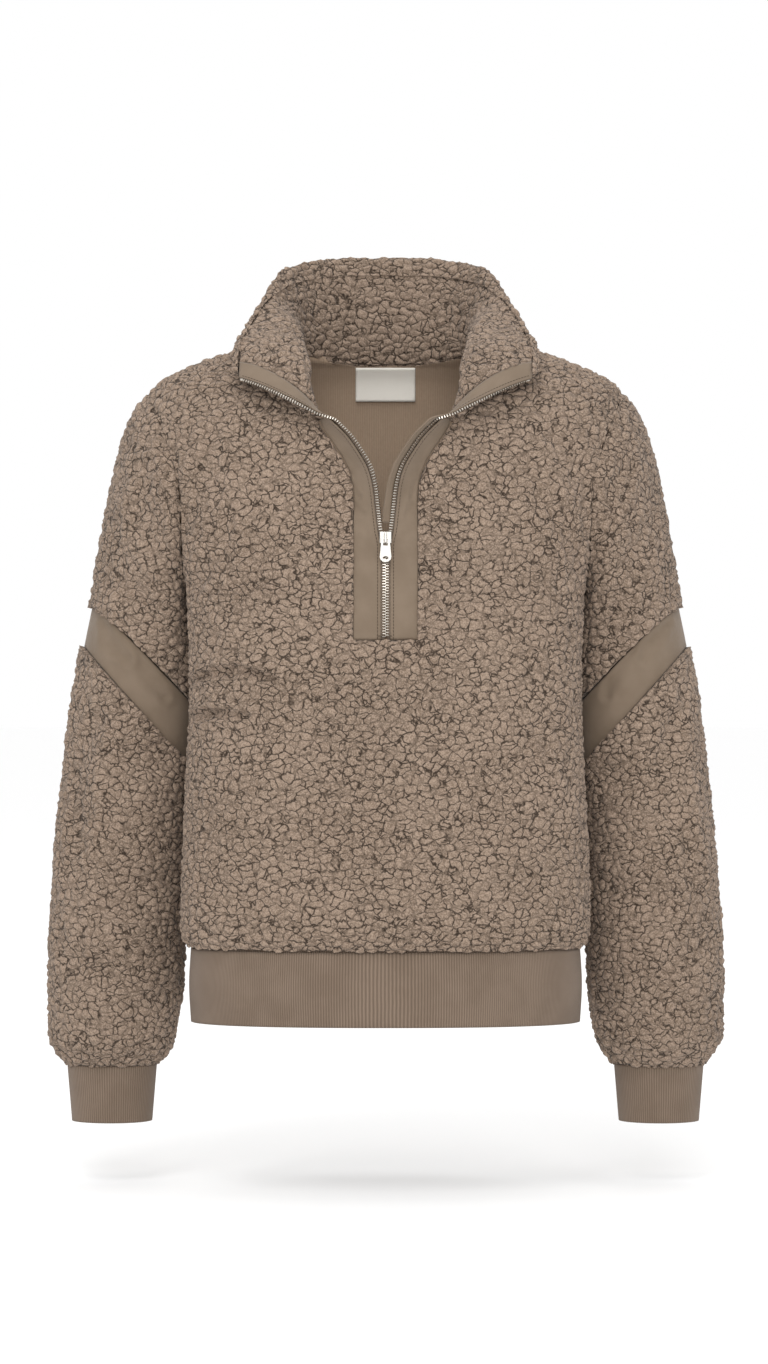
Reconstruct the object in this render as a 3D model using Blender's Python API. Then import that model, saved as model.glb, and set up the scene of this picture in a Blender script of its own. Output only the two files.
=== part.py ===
"""A half-zip pullover of sherpa fleece, filled out as when worn but empty inside.

The script is in metres with +Z up; the tables below are in millimetres. The wearer faces -Y. The
origin is midway between the two neck points, where the shoulders hold the garment up. Left and
right are those of somebody who looks at its front, so left is at -X.
"""

import math
from collections import namedtuple

import bmesh
import bpy
import mathutils
import numpy as np

MM = 0.001
GAP = 0.3  # between pieces that are sewn together

# Cloth, in mm
SHERPA = 7.0  # backing and pile of the body and sleeves
TWILL = 1.3  # smooth woven cloth of the placket
BAND_INSET = 5.5  # sleeve bands lie this far below the pile
BAND_TWILL = 1.5
RIB = 3.0  # knitted rib of hem and cuffs
TAPE = 0.8
FACING = 1.2
LABEL = 0.8

# The body's horizontal sections, from the neck points to the hem seam. The two halves of a section
# are superellipses that meet at the widest place, y = widest.
BodyLevel = namedtuple("BodyLevel", "z half_width front back widest front_power back_power")
BODY = [
    BodyLevel(6, 88, -30, 60, 0, 2.2, 2.2),
    BodyLevel(-2, 124, -46, 72, -1, 2.2, 2.2),
    BodyLevel(-14, 166, -63, 84, -2, 2.3, 2.3),
    BodyLevel(-24, 189, -73, 91, -2, 2.3, 2.4),
    BodyLevel(-33, 208, -80, 95, -3, 2.3, 2.5),
    BodyLevel(-45, 221, -87, 99, -4, 2.4, 2.6),
    BodyLevel(-64, 226, -96, 104, -12, 2.4, 2.6),
    BodyLevel(-86, 226, -104, 108, -20, 2.4, 2.6),
    BodyLevel(-102, 221, -109, 110, -25, 2.4, 2.6),
    BodyLevel(-142, 209, -116, 113, -34, 2.4, 2.6),
    BodyLevel(-180, 197, -121, 114, -39, 2.4, 2.5),
    BodyLevel(-218, 187, -124, 113, -43, 2.4, 2.1),
    BodyLevel(-240, 184, -125, 112, -45, 2.4, 1.9),
    BodyLevel(-322, 182, -124, 110, -45, 2.4, 1.75),
    BodyLevel(-427, 186, -122, 108, -45, 2.4, 1.75),
    BodyLevel(-538, 190, -122, 108, -45, 2.4, 1.75),
    BodyLevel(-554, 188, -120, 106, -45, 2.4, 1.75),
    BodyLevel(-562, 183, -115, 101, -45, 2.4, 1.75),
]
NECK_TOP = BODY[0].z
SHOULDER_POINT = -45.0  # height of the armhole's top
HEM_SEAM = BODY[-1].z
HEM_BOTTOM = -630.0
HEM_STEP_IN = 3.0  # the rib starts this far inside the pile
HEM_BULGE = 1.5

# The armhole, an upright oval on the body's side
ARMPIT = -240.0
ARMHOLE_FRONT = 76.0
ARMHOLE_BACK = 64.0
SIDE_SEAM_Y = 0.0
ARMHOLE_TURNS = np.linspace(0, math.pi, 12)
# The collar's end meets the front on the panels' fourth row down the armhole.
ARMHOLE_MIDDLE = (SHOULDER_POINT + ARMPIT) / 2
NECK_END = ARMHOLE_MIDDLE + (SHOULDER_POINT - ARMHOLE_MIDDLE) * math.cos(ARMHOLE_TURNS[3])

# The front's inner edge at the left: the neckline down to the collar's end, then the placket's seam
EdgePoint = namedtuple("EdgePoint", "z x")
FRONT_EDGE = [
    EdgePoint(6, -85),
    EdgePoint(-4, -85),
    EdgePoint(-16, -82),
    EdgePoint(-34, -77),
    EdgePoint(-56, -69),
    EdgePoint(-80, -61),
    EdgePoint(-102, -47),
    EdgePoint(-118, -37),
    EdgePoint(-134, -31),
    EdgePoint(-150, -29),
    EdgePoint(-279, -29),
]
PLACKET_BOTTOM = -279.0
PLACKET_HALF = 29.0
# The zip's left edge below the collar: closed up to the slider, then spreading
ZIP_EDGE = [
    EdgePoint(-80, -54),
    EdgePoint(-99, -34),
    EdgePoint(-113, -24.5),
    EdgePoint(-126, -17),
    EdgePoint(-141, -12.5),
    EdgePoint(-158, -9.5),
    EdgePoint(-182, -4.6),
    EdgePoint(-194, -1.2),
    EdgePoint(-202, -1.0),
    EdgePoint(-279, -1.0),
]
# How far the opened edge is turned forward, off the body
Lift = namedtuple("Lift", "z depth")
LIFTS = [
    Lift(-20, 0),
    Lift(-34, 3),
    Lift(-56, 13),
    Lift(-80, 22),
    Lift(-102, 23),
    Lift(-134, 20),
    Lift(-158, 13),
    Lift(-180, 4),
    Lift(-200, 0),
]
LIFT_AT_SEAM = 0.2
LIFT_FADE = 25.0

# Soft folds pressed into the front, ends and depth
Fold = namedtuple("Fold", "x0 z0 x1 z1 width depth")
FOLDS = [
    Fold(-182, -321, -112, -317, 11, 2.6),
    Fold(-178, -357, -142, -352, 9, 2.0),
    Fold(186, -168, 158, -96, 12, 2.4),
    Fold(172, -196, 140, -150, 11, 1.6),
    Fold(-186, -160, -162, -100, 11, 1.8),
    Fold(176, -470, 118, -455, 14, 1.6),
]

# The back's neckline, from a neck point to the middle of the back
NeckPoint = namedtuple("NeckPoint", "x z")
BACK_NECK = [NeckPoint(85, 6), NeckPoint(80, 2), NeckPoint(58, -4), NeckPoint(30, -7), NeckPoint(0, -8)]

# Half of the collar, from its left front end to the middle of the back. run is the distance
# along it, lean_* the way it leaves the neck seam, edge_* its free edge and fall_* the way it ends.
Collar = namedtuple("Collar", "run lean_x lean_y lean_z edge_x edge_y edge_z fall_x fall_y fall_z")
COLLAR = [
    Collar(0, -80, -6, 44, -140, -94, -41, -84, 40, 20),
    Collar(20, -44, -44, 66, -141, -82, -27, -96, 30, -4),
    Collar(45, -2, -52, 84, -140, -62, -9, -96, 20, -18),
    Collar(75, 12, -34, 92, -135, -42, 4, -86, 14, 0),
    Collar(105, 16, -10, 88, -126, -18, 25, -70, 10, 40),
    Collar(145, 10, 0, 84, -113, 6, 51, -50, 8, 76),
    Collar(185, 0, 2, 92, -98, 32, 75, -28, 10, 90),
    Collar(235, -2, 6, 96, -69, 67, 88, -14, 14, 94),
    Collar(275, -1, 8, 97, -35, 83, 93, -6, 16, 96),
    Collar(310, 0, 8, 98, 0, 86, 94, 0, 16, 96),
]
INNER_STEP_BACK = 7.0  # from the facing to the inner sherpa, whose pile fills the step
NECK_GAP = 1.0  # the neck seam's, which is curved
LEAF_SHARES = (0.14, 0.2, 0.27, 0.36, 0.45, 0.57, 0.7, 0.85, 1)
TURN_END = -84.0  # above it the strips keep their slant up to the collar
COLLAR_HALF = 5.5  # half of the two layers' thickness
COLLAR_SPLIT = 0.2  # the layers part this far outside the middle
COLLAR_HIDE = 15.0  # the outer layer stops this far from the zip, beside its tape
STRIP_WIDTH = 19.0  # facing on the collar's end
ROLL_BAND = 0.2  # share of the height that the outer layer covers where it rolls over the top
ROLL_NARROW = 0.08  # the same on the turned ends
ROLL_TURNS = (0.4, 1, 1.6, 2)  # rows of the roll: 0 outside, 1 over the top, 2 inside
ROLL_GAP = 0.004  # share of the height between the roll's end and the inner layer

# Layers of the zip's edge, measured from the wall's middle, outwards
PLACKET_OUT = 0.5
LAYER_GAP = 0.7
TAPE_OUT = PLACKET_OUT - TWILL - LAYER_GAP
FACING_OUT = TAPE_OUT - TAPE - LAYER_GAP
GUARD = 8.0  # the right facing reaches past the zip's edge

# The sleeve's horizontal sections below the armpit
SleeveLevel = namedtuple("SleeveLevel", "z outer inner mid_y half_depth")
SLEEVE = [
    SleeveLevel(-240, -280, -168, 16, 62),
    SleeveLevel(-287, -290, -167, 20, 61),
    SleeveLevel(-334, -298, -168, 24, 60),
    SleeveLevel(-390, -305, -174, 25, 58),
    SleeveLevel(-475, -314, -184, 25, 57),
    SleeveLevel(-550, -319, -188, 25, 55),
    SleeveLevel(-598, -321, -190, 25, 53),
    SleeveLevel(-636, -320, -195, 25, 50),
    SleeveLevel(-658, -318, -199, 25, 45),
    SleeveLevel(-672, -312, -207, 25, 38),
    SleeveLevel(-679, -304, -214, 25, 32),
]
SLEEVE_END = SLEEVE[-1].z
# Band seams: height at the sleeve's outer side, how much lower they are inside, and their bend
BAND_TOP = (-247.0, 100.0, 1.35)
BAND_LOW = (-283.0, 118.0, 1.1)
# The sleeve's head leaves the armhole along the shoulder's slope and meets the band going down
HEAD_START_TOP = (-104.0, 0.0, -60.0)
HEAD_START_FRONT = (-50.0, -16.0, -30.0)
HEAD_START_PIT = (0.0, 0.0, -56.0)
HEAD_START_BACK = (-56.0, 20.0, -34.0)
HEAD_END = 210.0
HEAD_END_PIT = 60.0

CUFF_BOTTOM = -732.0
CUFF_STEP_IN = 2.5
CUFF_TAPER = 4.5
CUFF_TOP = SLEEVE_END + 1.2  # up under the pile's slanting edge

LABEL_HALF = 29.0
LABEL_GAP = 0.8
LABEL_TOP = -10.5
LABEL_BOTTOM = -43.0

SLIDER_TOP = -181.5
SLIDER_BOTTOM = -192.0
SLIDER_HALF = 5.4
PLATE = 1.5
MOUTH = 2.6  # room for tapes and teeth between the slider's plates
BRIDGE_HALF = 1.0
BRIDGE_RISE = 3.4
BRIDGE_BAR = 1.0
BRIDGE_SHORT = 1.6  # the bridge is this much shorter than the plates
HOLE_CLEAR = 0.02  # the hole stops this short of the plate
WEDGE_WIDE = 2.2
WEDGE_TALL = 3.2
WEDGE_DOWN = 2.0
PIVOT_OUT = 1.5  # the tab's pivot bar is this far in front of the slider
PIVOT_Z = -187.6
TAB_LENGTH = 22.0
TAB_BAR_HALF = 0.55  # of the bar under the bridge
TAB_ROUND = 4.6  # height of the rounded end
TAB_HOLE_UP = 4.4  # from the tab's end to the hole's middle
TAB_THICK = 1.1
TAB_WINDOW = 6.0
TAB_WINDOW_HALF = 2.1
TAB_TOP_HALF = 3.6
TAB_LOW_HALF = 5.2
TAB_HOLE_WIDE = 2.6
TAB_HOLE_TALL = 1.5

# Mesh steps
SHOULDER_ROWS = [3.0, 0.0, -3.0, -6.0, -8.2, -16.0, -25.0, -35.0]
BODY_COLUMNS = 9
MIDDLE_COLUMNS = 4
HEM_COLUMNS = 36
COLLAR_SHARES = (0, 0.14, 0.27, 0.45, 0.7, 1)
TURN_ROWS = (-176, -169, -163, -142, -115, -108, -96, -90, -84)  # extra rows of the strips, where they twist
EDGE_STEPS = (4.9, 7, 14, 18.5)  # across the layers along the zip
CUFF_COLUMNS = 20

FINISHES = {
    "sherpa": ((0.262, 0.196, 0.152), 0.95, 0.0),
    "twill": ((0.232, 0.176, 0.128), 0.75, 0.0),
    "rib": ((0.228, 0.170, 0.128), 0.85, 0.0),
    "label": ((0.680, 0.640, 0.560), 0.70, 0.0),
    "tape": ((0.215, 0.165, 0.122), 0.80, 0.0),
    "metal": ((0.820, 0.790, 0.740), 0.25, 1.0),
}


# Curves and surfaces


def through(xs, ys, x):
    """A smooth curve through the points that never overshoots them. ys may hold several columns."""
    xs = np.asarray(xs, float)
    ys = np.asarray(ys, float)
    if xs[0] > xs[-1]:
        xs = xs[::-1]
        ys = ys[::-1]
    x = min(max(x, xs[0]), xs[-1])
    step = np.diff(xs)
    slope = np.diff(ys, axis=0) / (step[:, None] if ys.ndim > 1 else step)
    same_way = slope[:-1] * slope[1:] > 0
    mean = np.where(same_way, 2 * slope[:-1] * slope[1:] / np.where(same_way, slope[:-1] + slope[1:], 1), 0)
    tangent = np.concatenate([slope[:1], mean, slope[-1:]])
    i = int(np.clip(np.searchsorted(xs, x) - 1, 0, len(step) - 1))
    return hermite(ys[i], ys[i + 1], tangent[i] * step[i], tangent[i + 1] * step[i], (x - xs[i]) / step[i])


def hermite(start, end, leave, arrive, t):
    """A cubic from start to end with the tangents leave and arrive."""
    rise = t * t * (3 - 2 * t)
    return start * (1 - rise) + end * rise + leave * t * (1 - t) ** 2 - arrive * t * t * (1 - t)


def table(rows, z):
    """A row of the table between those given, as a row of its own kind."""
    values = np.array(rows, float)
    return type(rows[0])(z, *through(values[:, 0], values[:, 1:], z))


def unit(v):
    v = np.asarray(v, float)
    return v / max(np.linalg.norm(v), 1e-9)


def body_point(angle, z):
    """A point of the body's outer face at -X: angle 0 at the side, 90 degrees at mid-front, -90 at mid-back."""
    level = table(BODY, z)
    c = max(math.cos(angle), 0.0)
    s = math.sin(angle)
    if s >= 0:
        power, reach = 2 / level.front_power, level.front - level.widest
    else:
        power, reach = 2 / level.back_power, level.back - level.widest
    return np.array([-level.half_width * c**power, level.widest + reach * abs(s) ** power, z])


def angle_at_y(y, z):
    """The angle at which the section at height z has this y."""
    level = table(BODY, z)
    if y < level.widest:
        share = (y - level.widest) / (level.front - level.widest)
        return math.asin(min(share, 1) ** (level.front_power / 2))
    share = (y - level.widest) / (level.back - level.widest)
    return -math.asin(min(share, 1) ** (level.back_power / 2))


def angle_at_x(x, z, side):
    """The angle at which the section at height z is x from the middle; side is 1 in front, -1 behind."""
    level = table(BODY, z)
    power = level.front_power if side > 0 else level.back_power
    return side * math.acos(min(abs(x) / level.half_width, 1) ** (power / 2))


def fold_depth(x, z):
    """How deep the soft folds press the front in at this place."""
    total = 0.0
    for f in FOLDS:
        along = np.array([f.x1 - f.x0, f.z1 - f.z0])
        at = np.array([x - f.x0, z - f.z0])
        length = np.linalg.norm(along)
        t = float(at @ along) / length**2
        across = abs(at[0] * along[1] - at[1] * along[0]) / length
        fade = math.exp(-((max(0.0, -t, t - 1) * length / f.width) ** 2))
        total += f.depth * fade * math.exp(-((across / f.width) ** 2))
    return total


def lift_at(x, z):
    """How far the opened front edge is turned forward; x is measured on the left half."""
    depth = float(table(LIFTS, z).depth)
    seam = float(table(FRONT_EDGE, z).x)
    if x <= seam or z > NECK_END:
        return depth * LIFT_AT_SEAM * math.exp(-max(seam - x, 0) / LIFT_FADE)
    share = (x - seam) / (float(table(ZIP_EDGE, z).x) - seam)
    return depth * (LIFT_AT_SEAM + (1 - LIFT_AT_SEAM) * share**1.3)


def front_at_angle(angle, z, mirror=1):
    """The front's outer face, with its folds and its turned edge."""
    p = body_point(angle, z)
    front = math.sin(max(angle, 0.0))
    p[1] += front * fold_depth(mirror * p[0], z) - lift_at(p[0], z)
    return p


def front_at_x(x, z, mirror=1):
    return front_at_angle(angle_at_x(x, z, 1), z, mirror)


def normal_at(surface, u, v, du, dv, outward):
    """The surface's unit normal at (u, v), turned to the side that outward points to."""
    n = np.cross(surface(u + du, v) - surface(u - du, v), surface(u, v + dv) - surface(u, v - dv))
    n = unit(n)
    return n if n @ outward > 0 else -n


def front_normal(x, z, mirror=1):
    return normal_at(lambda a, b: front_at_x(a, b, mirror), x, z, 1.0, 1.0, np.array([-0.2, -1.0, 0.2]))


def body_normal(angle, z):
    outward = body_point(angle, z) - np.array([0, 0, z - 20])
    return normal_at(body_point, angle, min(z, NECK_TOP - 1.5), 0.02, 1.5, outward)


# The armhole


def armhole_place(turn):
    """y and z of the armhole: turn 0 at the shoulder, 90 degrees in front, 180 at the armpit."""
    middle = (SHOULDER_POINT + ARMPIT) / 2
    depth = ARMHOLE_FRONT if math.sin(turn) > 0 else ARMHOLE_BACK
    return SIDE_SEAM_Y - depth * math.sin(turn), middle + (SHOULDER_POINT - middle) * math.cos(turn)


def armhole_point(turn):
    y, z = armhole_place(turn)
    return body_point(angle_at_y(y, z), z)


def armhole_inward(turn):
    """The way the wall goes in at the armhole's seam: towards the middle of the opening."""
    middle = (armhole_point(0) + armhole_point(math.pi)) / 2
    return unit(middle - armhole_point(turn))


# The sleeve


def section_point(turn, z):
    """A point of the sleeve's outer face below the armpit: turn 0 outside, 90 degrees in front."""
    level = table(SLEEVE, z)
    middle = (level.outer + level.inner) / 2
    half = (level.inner - level.outer) / 2
    return np.array([middle - half * math.cos(turn), level.mid_y - level.half_depth * math.sin(turn), z])


def band_height(seam, turn):
    high, drop, bend = seam
    return high - drop * ((1 - math.cos(turn)) / 2) ** bend


def head_start(turn):
    """The way the sleeve's head leaves the armhole."""
    up = max(math.cos(turn), 0) ** 2
    pit = max(-math.cos(turn), 0) ** 2
    side = math.sin(turn) ** 2
    middle = HEAD_START_FRONT if math.sin(turn) > 0 else HEAD_START_BACK
    return up * np.array(HEAD_START_TOP) + pit * np.array(HEAD_START_PIT) + side * np.array(middle)


def sleeve_point(turn, v):
    """The left sleeve's outer face: v 0 to 1 is its head, 1 to 2 the band, 2 to 3 the lower sleeve."""
    if v <= 1:
        top = band_height(BAND_TOP, turn)
        end = section_point(turn, top)
        down = unit(section_point(turn, top - 6) - section_point(turn, top + 6))
        pull = HEAD_END_PIT + (HEAD_END - HEAD_END_PIT) * (1 + math.cos(turn)) / 2
        return hermite(armhole_point(turn), end, head_start(turn), down * pull, max(v, 0))
    if v <= 2:
        top = band_height(BAND_TOP, turn)
        low = band_height(BAND_LOW, turn)
        return section_point(turn, top + (low - top) * (v - 1))
    low = band_height(BAND_LOW, turn)
    return section_point(turn, low + (SLEEVE_END - low) * (v - 2))


def sleeve_normal(turn, v):
    if v > 1:
        z = sleeve_point(turn, v)[2]
        here = section_point(turn, z)
        level = table(SLEEVE, z)
        outward = here - np.array([(level.outer + level.inner) / 2, level.mid_y, z])
        z = max(z, SLEEVE_END + 1.5)
        return normal_at(section_point, turn, z, 0.02, 1.5, outward)
    centre = (sleeve_point(0, v) + sleeve_point(math.pi, v)) / 2
    return normal_at(sleeve_point, turn, min(max(v, 0.03), 0.98), 0.02, 0.02, sleeve_point(turn, v) - centre)


# The collar and the opened zip edge


def neck_place(run):
    """x, z and side of the neckline at this distance from the collar's end."""
    if run <= 20:
        x = hermite(zip_edge(NECK_END)[0], table(FRONT_EDGE, NECK_END).x, -8, -8, run / 20)
        return float(x), NECK_END, 1
    if run <= 145:
        z = through([20, 45, 75, 105, 145], [NECK_END, -56, -34, -14, NECK_TOP - 2], run)
        return float(table(FRONT_EDGE, z).x), float(z), 1
    x = through([145, 185, 235, 275, 310], [-85, -73, -50, -25, 0], run)
    z = through([p.x for p in BACK_NECK], [p.z for p in BACK_NECK], -x)
    return float(x), float(z), -1


def zip_edge(z):
    return float(table(ZIP_EDGE, z).x), z


def wall_middle(x, z, side, mirror=1):
    """The middle of the sherpa wall, and its outward normal."""
    if side > 0:
        n = front_normal(x, z, mirror)
        return front_at_x(x, z, mirror) - n * SHERPA / 2, n
    angle = angle_at_x(x, z, -1)
    n = body_normal(angle, z)
    return body_point(angle, z) - n * SHERPA / 2, n


def collar_row(run):
    rows = np.array(COLLAR, float)
    return Collar(run, *through(rows[:, 0], rows[:, 1:], run))


def collar_point(run, h):
    """The middle of the collar: h 0 at the neck seam, 1 at its free edge."""
    row = collar_row(run)
    base, _ = wall_middle(*neck_place(run))
    edge = np.array([row.edge_x, row.edge_y, row.edge_z])
    leave = np.array([row.lean_x, row.lean_y, row.lean_z])
    arrive = np.array([row.fall_x, row.fall_y, row.fall_z])
    base = base + unit(leave) * NECK_GAP
    return hermite(base, edge, leave, arrive, h)


def collar_normal(run, h):
    """Outwards, away from the neck; at the seam it is the panel's own."""
    r = min(max(run, 2.0), 308.0)
    k = min(max(h, 0.03), 0.97)
    around = collar_point(r + 2, k) - collar_point(r - 2, k)
    along = collar_point(r, k + 0.03) - collar_point(r, k - 0.03)
    n = unit(np.cross(around, along))
    if run > 300:
        n = unit(np.array([0, n[1], n[2]]))
    if n @ np.array([0, 1, -1]) < 0:
        n = -n
    seam_share = max(0.0, 1 - h / 0.14)
    _, panel = wall_middle(*neck_place(run))
    return unit(n * (1 - seam_share) + panel * seam_share)


def collar_half(h):
    """Half the thickness: the panel's at the seam, the full two layers above it."""
    seam_share = max(0.0, 1 - h / 0.14)
    return COLLAR_HALF + (SHERPA / 2 - COLLAR_HALF) * seam_share


# Building meshes


def new_object(name, mesh, finish, places):
    obj = bpy.data.objects.new(name, mesh)
    places.objects.link(obj)
    colour, roughness, metallic = FINISHES[finish]
    material = bpy.data.materials.new(name)
    material.use_nodes = True
    shader = material.node_tree.nodes["Principled BSDF"]
    shader.inputs["Base Color"].default_value = (*colour, 1)
    shader.inputs["Roughness"].default_value = roughness
    shader.inputs["Metallic"].default_value = metallic
    material.diffuse_color = (*colour, 1)
    mesh.materials.append(material)
    return obj


def wall(name, outer, inner, finish, places, keep=None, wrap=False):
    """A closed wall between two grids of points, lofted row to row; keep leaves out cells of a cut-out."""
    outer = np.asarray(outer, float)
    inner = np.asarray(inner, float)
    rows, columns = outer.shape[:2]
    across = columns if wrap else columns - 1
    bm = bmesh.new()
    made = {}

    def corner(side, i, j):
        key = (side, i, j % columns)
        if key not in made:
            made[key] = bm.verts.new((outer, inner)[side][i, j % columns] * MM)
        return made[key]

    def kept(i, j):
        inside = 0 <= i < rows - 1 and (wrap or 0 <= j < across)
        return inside and (keep is None or keep(i, j % columns))

    for i in range(rows - 1):
        for j in range(across):
            if not kept(i, j):
                continue
            ring = [(i, j), (i, j + 1), (i + 1, j + 1), (i + 1, j)]
            for side in (0, 1):
                bm.faces.new([corner(side, *at) for at in (ring if side == 0 else ring[::-1])])
            beside = [(i - 1, j), (i, j + 1), (i + 1, j), (i, j - 1)]
            for k in range(4):
                if not kept(*beside[k]):
                    a, b = ring[k], ring[(k + 1) % 4]
                    bm.faces.new([corner(0, *b), corner(0, *a), corner(1, *a), corner(1, *b)])
    bmesh.ops.recalc_face_normals(bm, faces=bm.faces[:])
    mesh = bpy.data.meshes.new(name)
    bm.to_mesh(mesh)
    bm.free()
    mesh.shade_smooth()
    mesh.set_sharp_from_angle(angle=math.radians(40))
    return new_object(name, mesh, finish, places)


def mirrored(points):
    return np.asarray(points, float) * np.array([-1, 1, 1])


def pair(stem, outer, inner, finish, places, wrap=False):
    """The left piece and its mirror image at the right."""
    wall(f"{stem}_left", outer, inner, finish, places, wrap=wrap)
    wall(f"{stem}_right", mirrored(outer), mirrored(inner), finish, places, wrap=wrap)


# Panels


def body_rows():
    """Heights of the panels' rows: down the shoulder, the armhole and the side."""
    shoulder = SHOULDER_ROWS
    hole = [armhole_place(turn)[1] for turn in ARMHOLE_TURNS]
    side = [-260, PLACKET_BOTTOM - GAP, -322, -365, -410, -455, -500, -538, -554, HEM_SEAM]
    return shoulder + hole + side


def outer_angle(z, front):
    """The angle of the panel's outer boundary: shoulder ridge, armhole or side seam."""
    if z > SHOULDER_POINT:
        return 0.006 * front + angle_at_y(float(table(BODY, z).widest), z)
    if z > ARMPIT:
        share = math.sqrt(max(0.0, 1 - ((z - ARMHOLE_MIDDLE) / (SHOULDER_POINT - ARMHOLE_MIDDLE)) ** 2))
        depth = ARMHOLE_FRONT if front > 0 else ARMHOLE_BACK
        y = SIDE_SEAM_Y - front * depth * share
    else:
        y = SIDE_SEAM_Y
    return angle_at_y(y - front * GAP / 2, z)


def panel_grid(front, mirror=1):
    """Outer and inner points of half a panel, from its outer boundary to its inner one."""
    outer, inner = [], []
    for z in body_rows():
        first = outer_angle(z, front)
        if front > 0:
            x = float(table(FRONT_EDGE, z).x) if z > PLACKET_BOTTOM else -PLACKET_HALF
        elif z > BACK_NECK[-1].z:
            x = -float(np.interp(z, [p.z for p in BACK_NECK[::-1]], [p.x for p in BACK_NECK[::-1]]))
        else:
            x = 0.0
        last = angle_at_x(x, z, front)
        line_out, line_in = [], []
        for k in range(BODY_COLUMNS + 1):
            angle = first + (last - first) * k / BODY_COLUMNS
            p = front_at_angle(angle, z, mirror) if front > 0 else body_point(angle, z)
            way = -body_normal(angle, z)
            if k == 0 and ARMPIT <= z <= SHOULDER_POINT:
                turn = math.acos(max(-1, min(1, (z - ARMHOLE_MIDDLE) / (SHOULDER_POINT - ARMHOLE_MIDDLE))))
                way = armhole_inward(turn * front)
            line_out.append(p)
            line_in.append(p + way * SHERPA)
        outer.append(line_out)
        inner.append(line_in)
    return np.array(outer), np.array(inner)


def front_panel(places):
    """Front: sherpa, cut on the fold with a slot for the placket."""
    left_out, left_in = panel_grid(1)
    right_out, right_in = panel_grid(1, mirror=-1)
    right_out = mirrored(right_out)[:, ::-1]
    right_in = mirrored(right_in)[:, ::-1]
    middle_out, middle_in = [], []
    for z in body_rows():
        xs = np.linspace(-PLACKET_HALF, PLACKET_HALF, MIDDLE_COLUMNS + 1)[1:-1]
        line = []
        for x in xs:
            p = body_point(angle_at_x(x, z, 1), z)
            line.append(np.array([x, p[1], z]))
        middle_out.append(line)
        middle_in.append([p - np.array([0, -1, 0]) * SHERPA for p in line])
    outer = np.concatenate([left_out, np.array(middle_out), right_out], axis=1)
    inner = np.concatenate([left_in, np.array(middle_in), right_in], axis=1)
    bottom = body_rows().index(PLACKET_BOTTOM - GAP)
    slot = range(BODY_COLUMNS, BODY_COLUMNS + MIDDLE_COLUMNS)
    wall("front_panel", outer, inner, "sherpa", places, keep=lambda i, j: i >= bottom or j not in slot)


def back_panel(places):
    """Back: sherpa, cut in one."""
    left_out, left_in = panel_grid(-1)
    outer = np.concatenate([left_out[:, :-1], mirrored(left_out)[:, ::-1]], axis=1)
    inner = np.concatenate([left_in[:, :-1], mirrored(left_in)[:, ::-1]], axis=1)
    first = next(i for i, z in enumerate(body_rows()) if z < BACK_NECK[-1].z)
    middle = range(BODY_COLUMNS - 1, BODY_COLUMNS + 1)
    wall("back_panel", outer, inner, "sherpa", places, keep=lambda i, j: i >= first or j not in middle)


def sleeve_piece(stem, start, end, rows, top, thickness, finish, places):
    """A stretch of both sleeves between two values of v, its face `top` below the pile."""
    outer, inner = [], []
    for v in np.linspace(start, end, rows + 1):
        line_out, line_in = [], []
        for turn in [*ARMHOLE_TURNS, *-ARMHOLE_TURNS[-2:0:-1]]:
            p = sleeve_point(turn, v)
            way = -sleeve_normal(turn, v)
            if v == 0:
                p = p + unit(head_start(turn)) * GAP
                way = armhole_inward(turn)
            line_out.append(p + way * top)
            line_in.append(p + way * (top + thickness))
        outer.append(line_out)
        inner.append(line_in)
    pair(stem, outer, inner, finish, places, wrap=True)


def hem_band(places):
    """Hem: a rib ring, joined at one side, sewn under the body's edge."""
    level = table(BODY, HEM_SEAM)
    outer, inner = [], []
    for k, z in enumerate(np.linspace(HEM_SEAM - GAP, HEM_BOTTOM, 5)):
        inset = HEM_STEP_IN - HEM_BULGE * math.sin(math.pi * k / 4)
        lines = []
        for depth in (inset, inset + RIB):
            line = []
            for turn in np.linspace(0, 2 * math.pi, HEM_COLUMNS, endpoint=False):
                front = math.sin(turn) > 0
                power = 2 / (level.front_power if front else level.back_power)
                reach = (level.widest - level.front if front else level.back - level.widest) - depth
                x = (level.half_width - depth) * abs(math.cos(turn)) ** power
                y = reach * abs(math.sin(turn)) ** power
                line.append([math.copysign(x, -math.cos(turn)), level.widest - math.copysign(y, math.sin(turn)), z])
            lines.append(line)
        outer.append(lines[0])
        inner.append(lines[1])
    wall("hem_band", outer, inner, "rib", places, wrap=True)


def cuffs(places):
    """Cuffs: rib tubes that draw in slightly towards their lower edge."""
    level = SLEEVE[-1]
    middle = (level.outer + level.inner) / 2
    outer, inner = [], []
    for share in np.linspace(0, 1, 4):
        z = CUFF_TOP + (CUFF_BOTTOM - CUFF_TOP) * share
        for lines, depth in ((outer, 0), (inner, RIB)):
            inset = CUFF_STEP_IN + CUFF_TAPER * share + depth
            half = (level.inner - level.outer) / 2 - inset
            lines.append(
                [
                    [middle - half * math.cos(t), level.mid_y - (level.half_depth - inset) * math.sin(t), z]
                    for t in np.linspace(0, 2 * math.pi, CUFF_COLUMNS, endpoint=False)
                ]
            )
    pair("cuff", outer, inner, "rib", places, wrap=True)


def collar_layer(name, runs, rows, finish, places):
    """A layer of the collar over both halves; rows hold h and offset of its two faces."""
    both = []
    for face in (0, 2):
        grid = []
        for row in rows:
            line = []
            for run in runs:
                h, offset = row(run)[face : face + 2]
                line.append(collar_point(run, h) + collar_normal(run, h) * offset)
            grid.append(line)
        left = np.array(grid)
        both.append(np.concatenate([left[:, :-1], mirrored(left)[:, ::-1]], axis=1))
    wall(name, both[0], both[1], finish, places)


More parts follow.
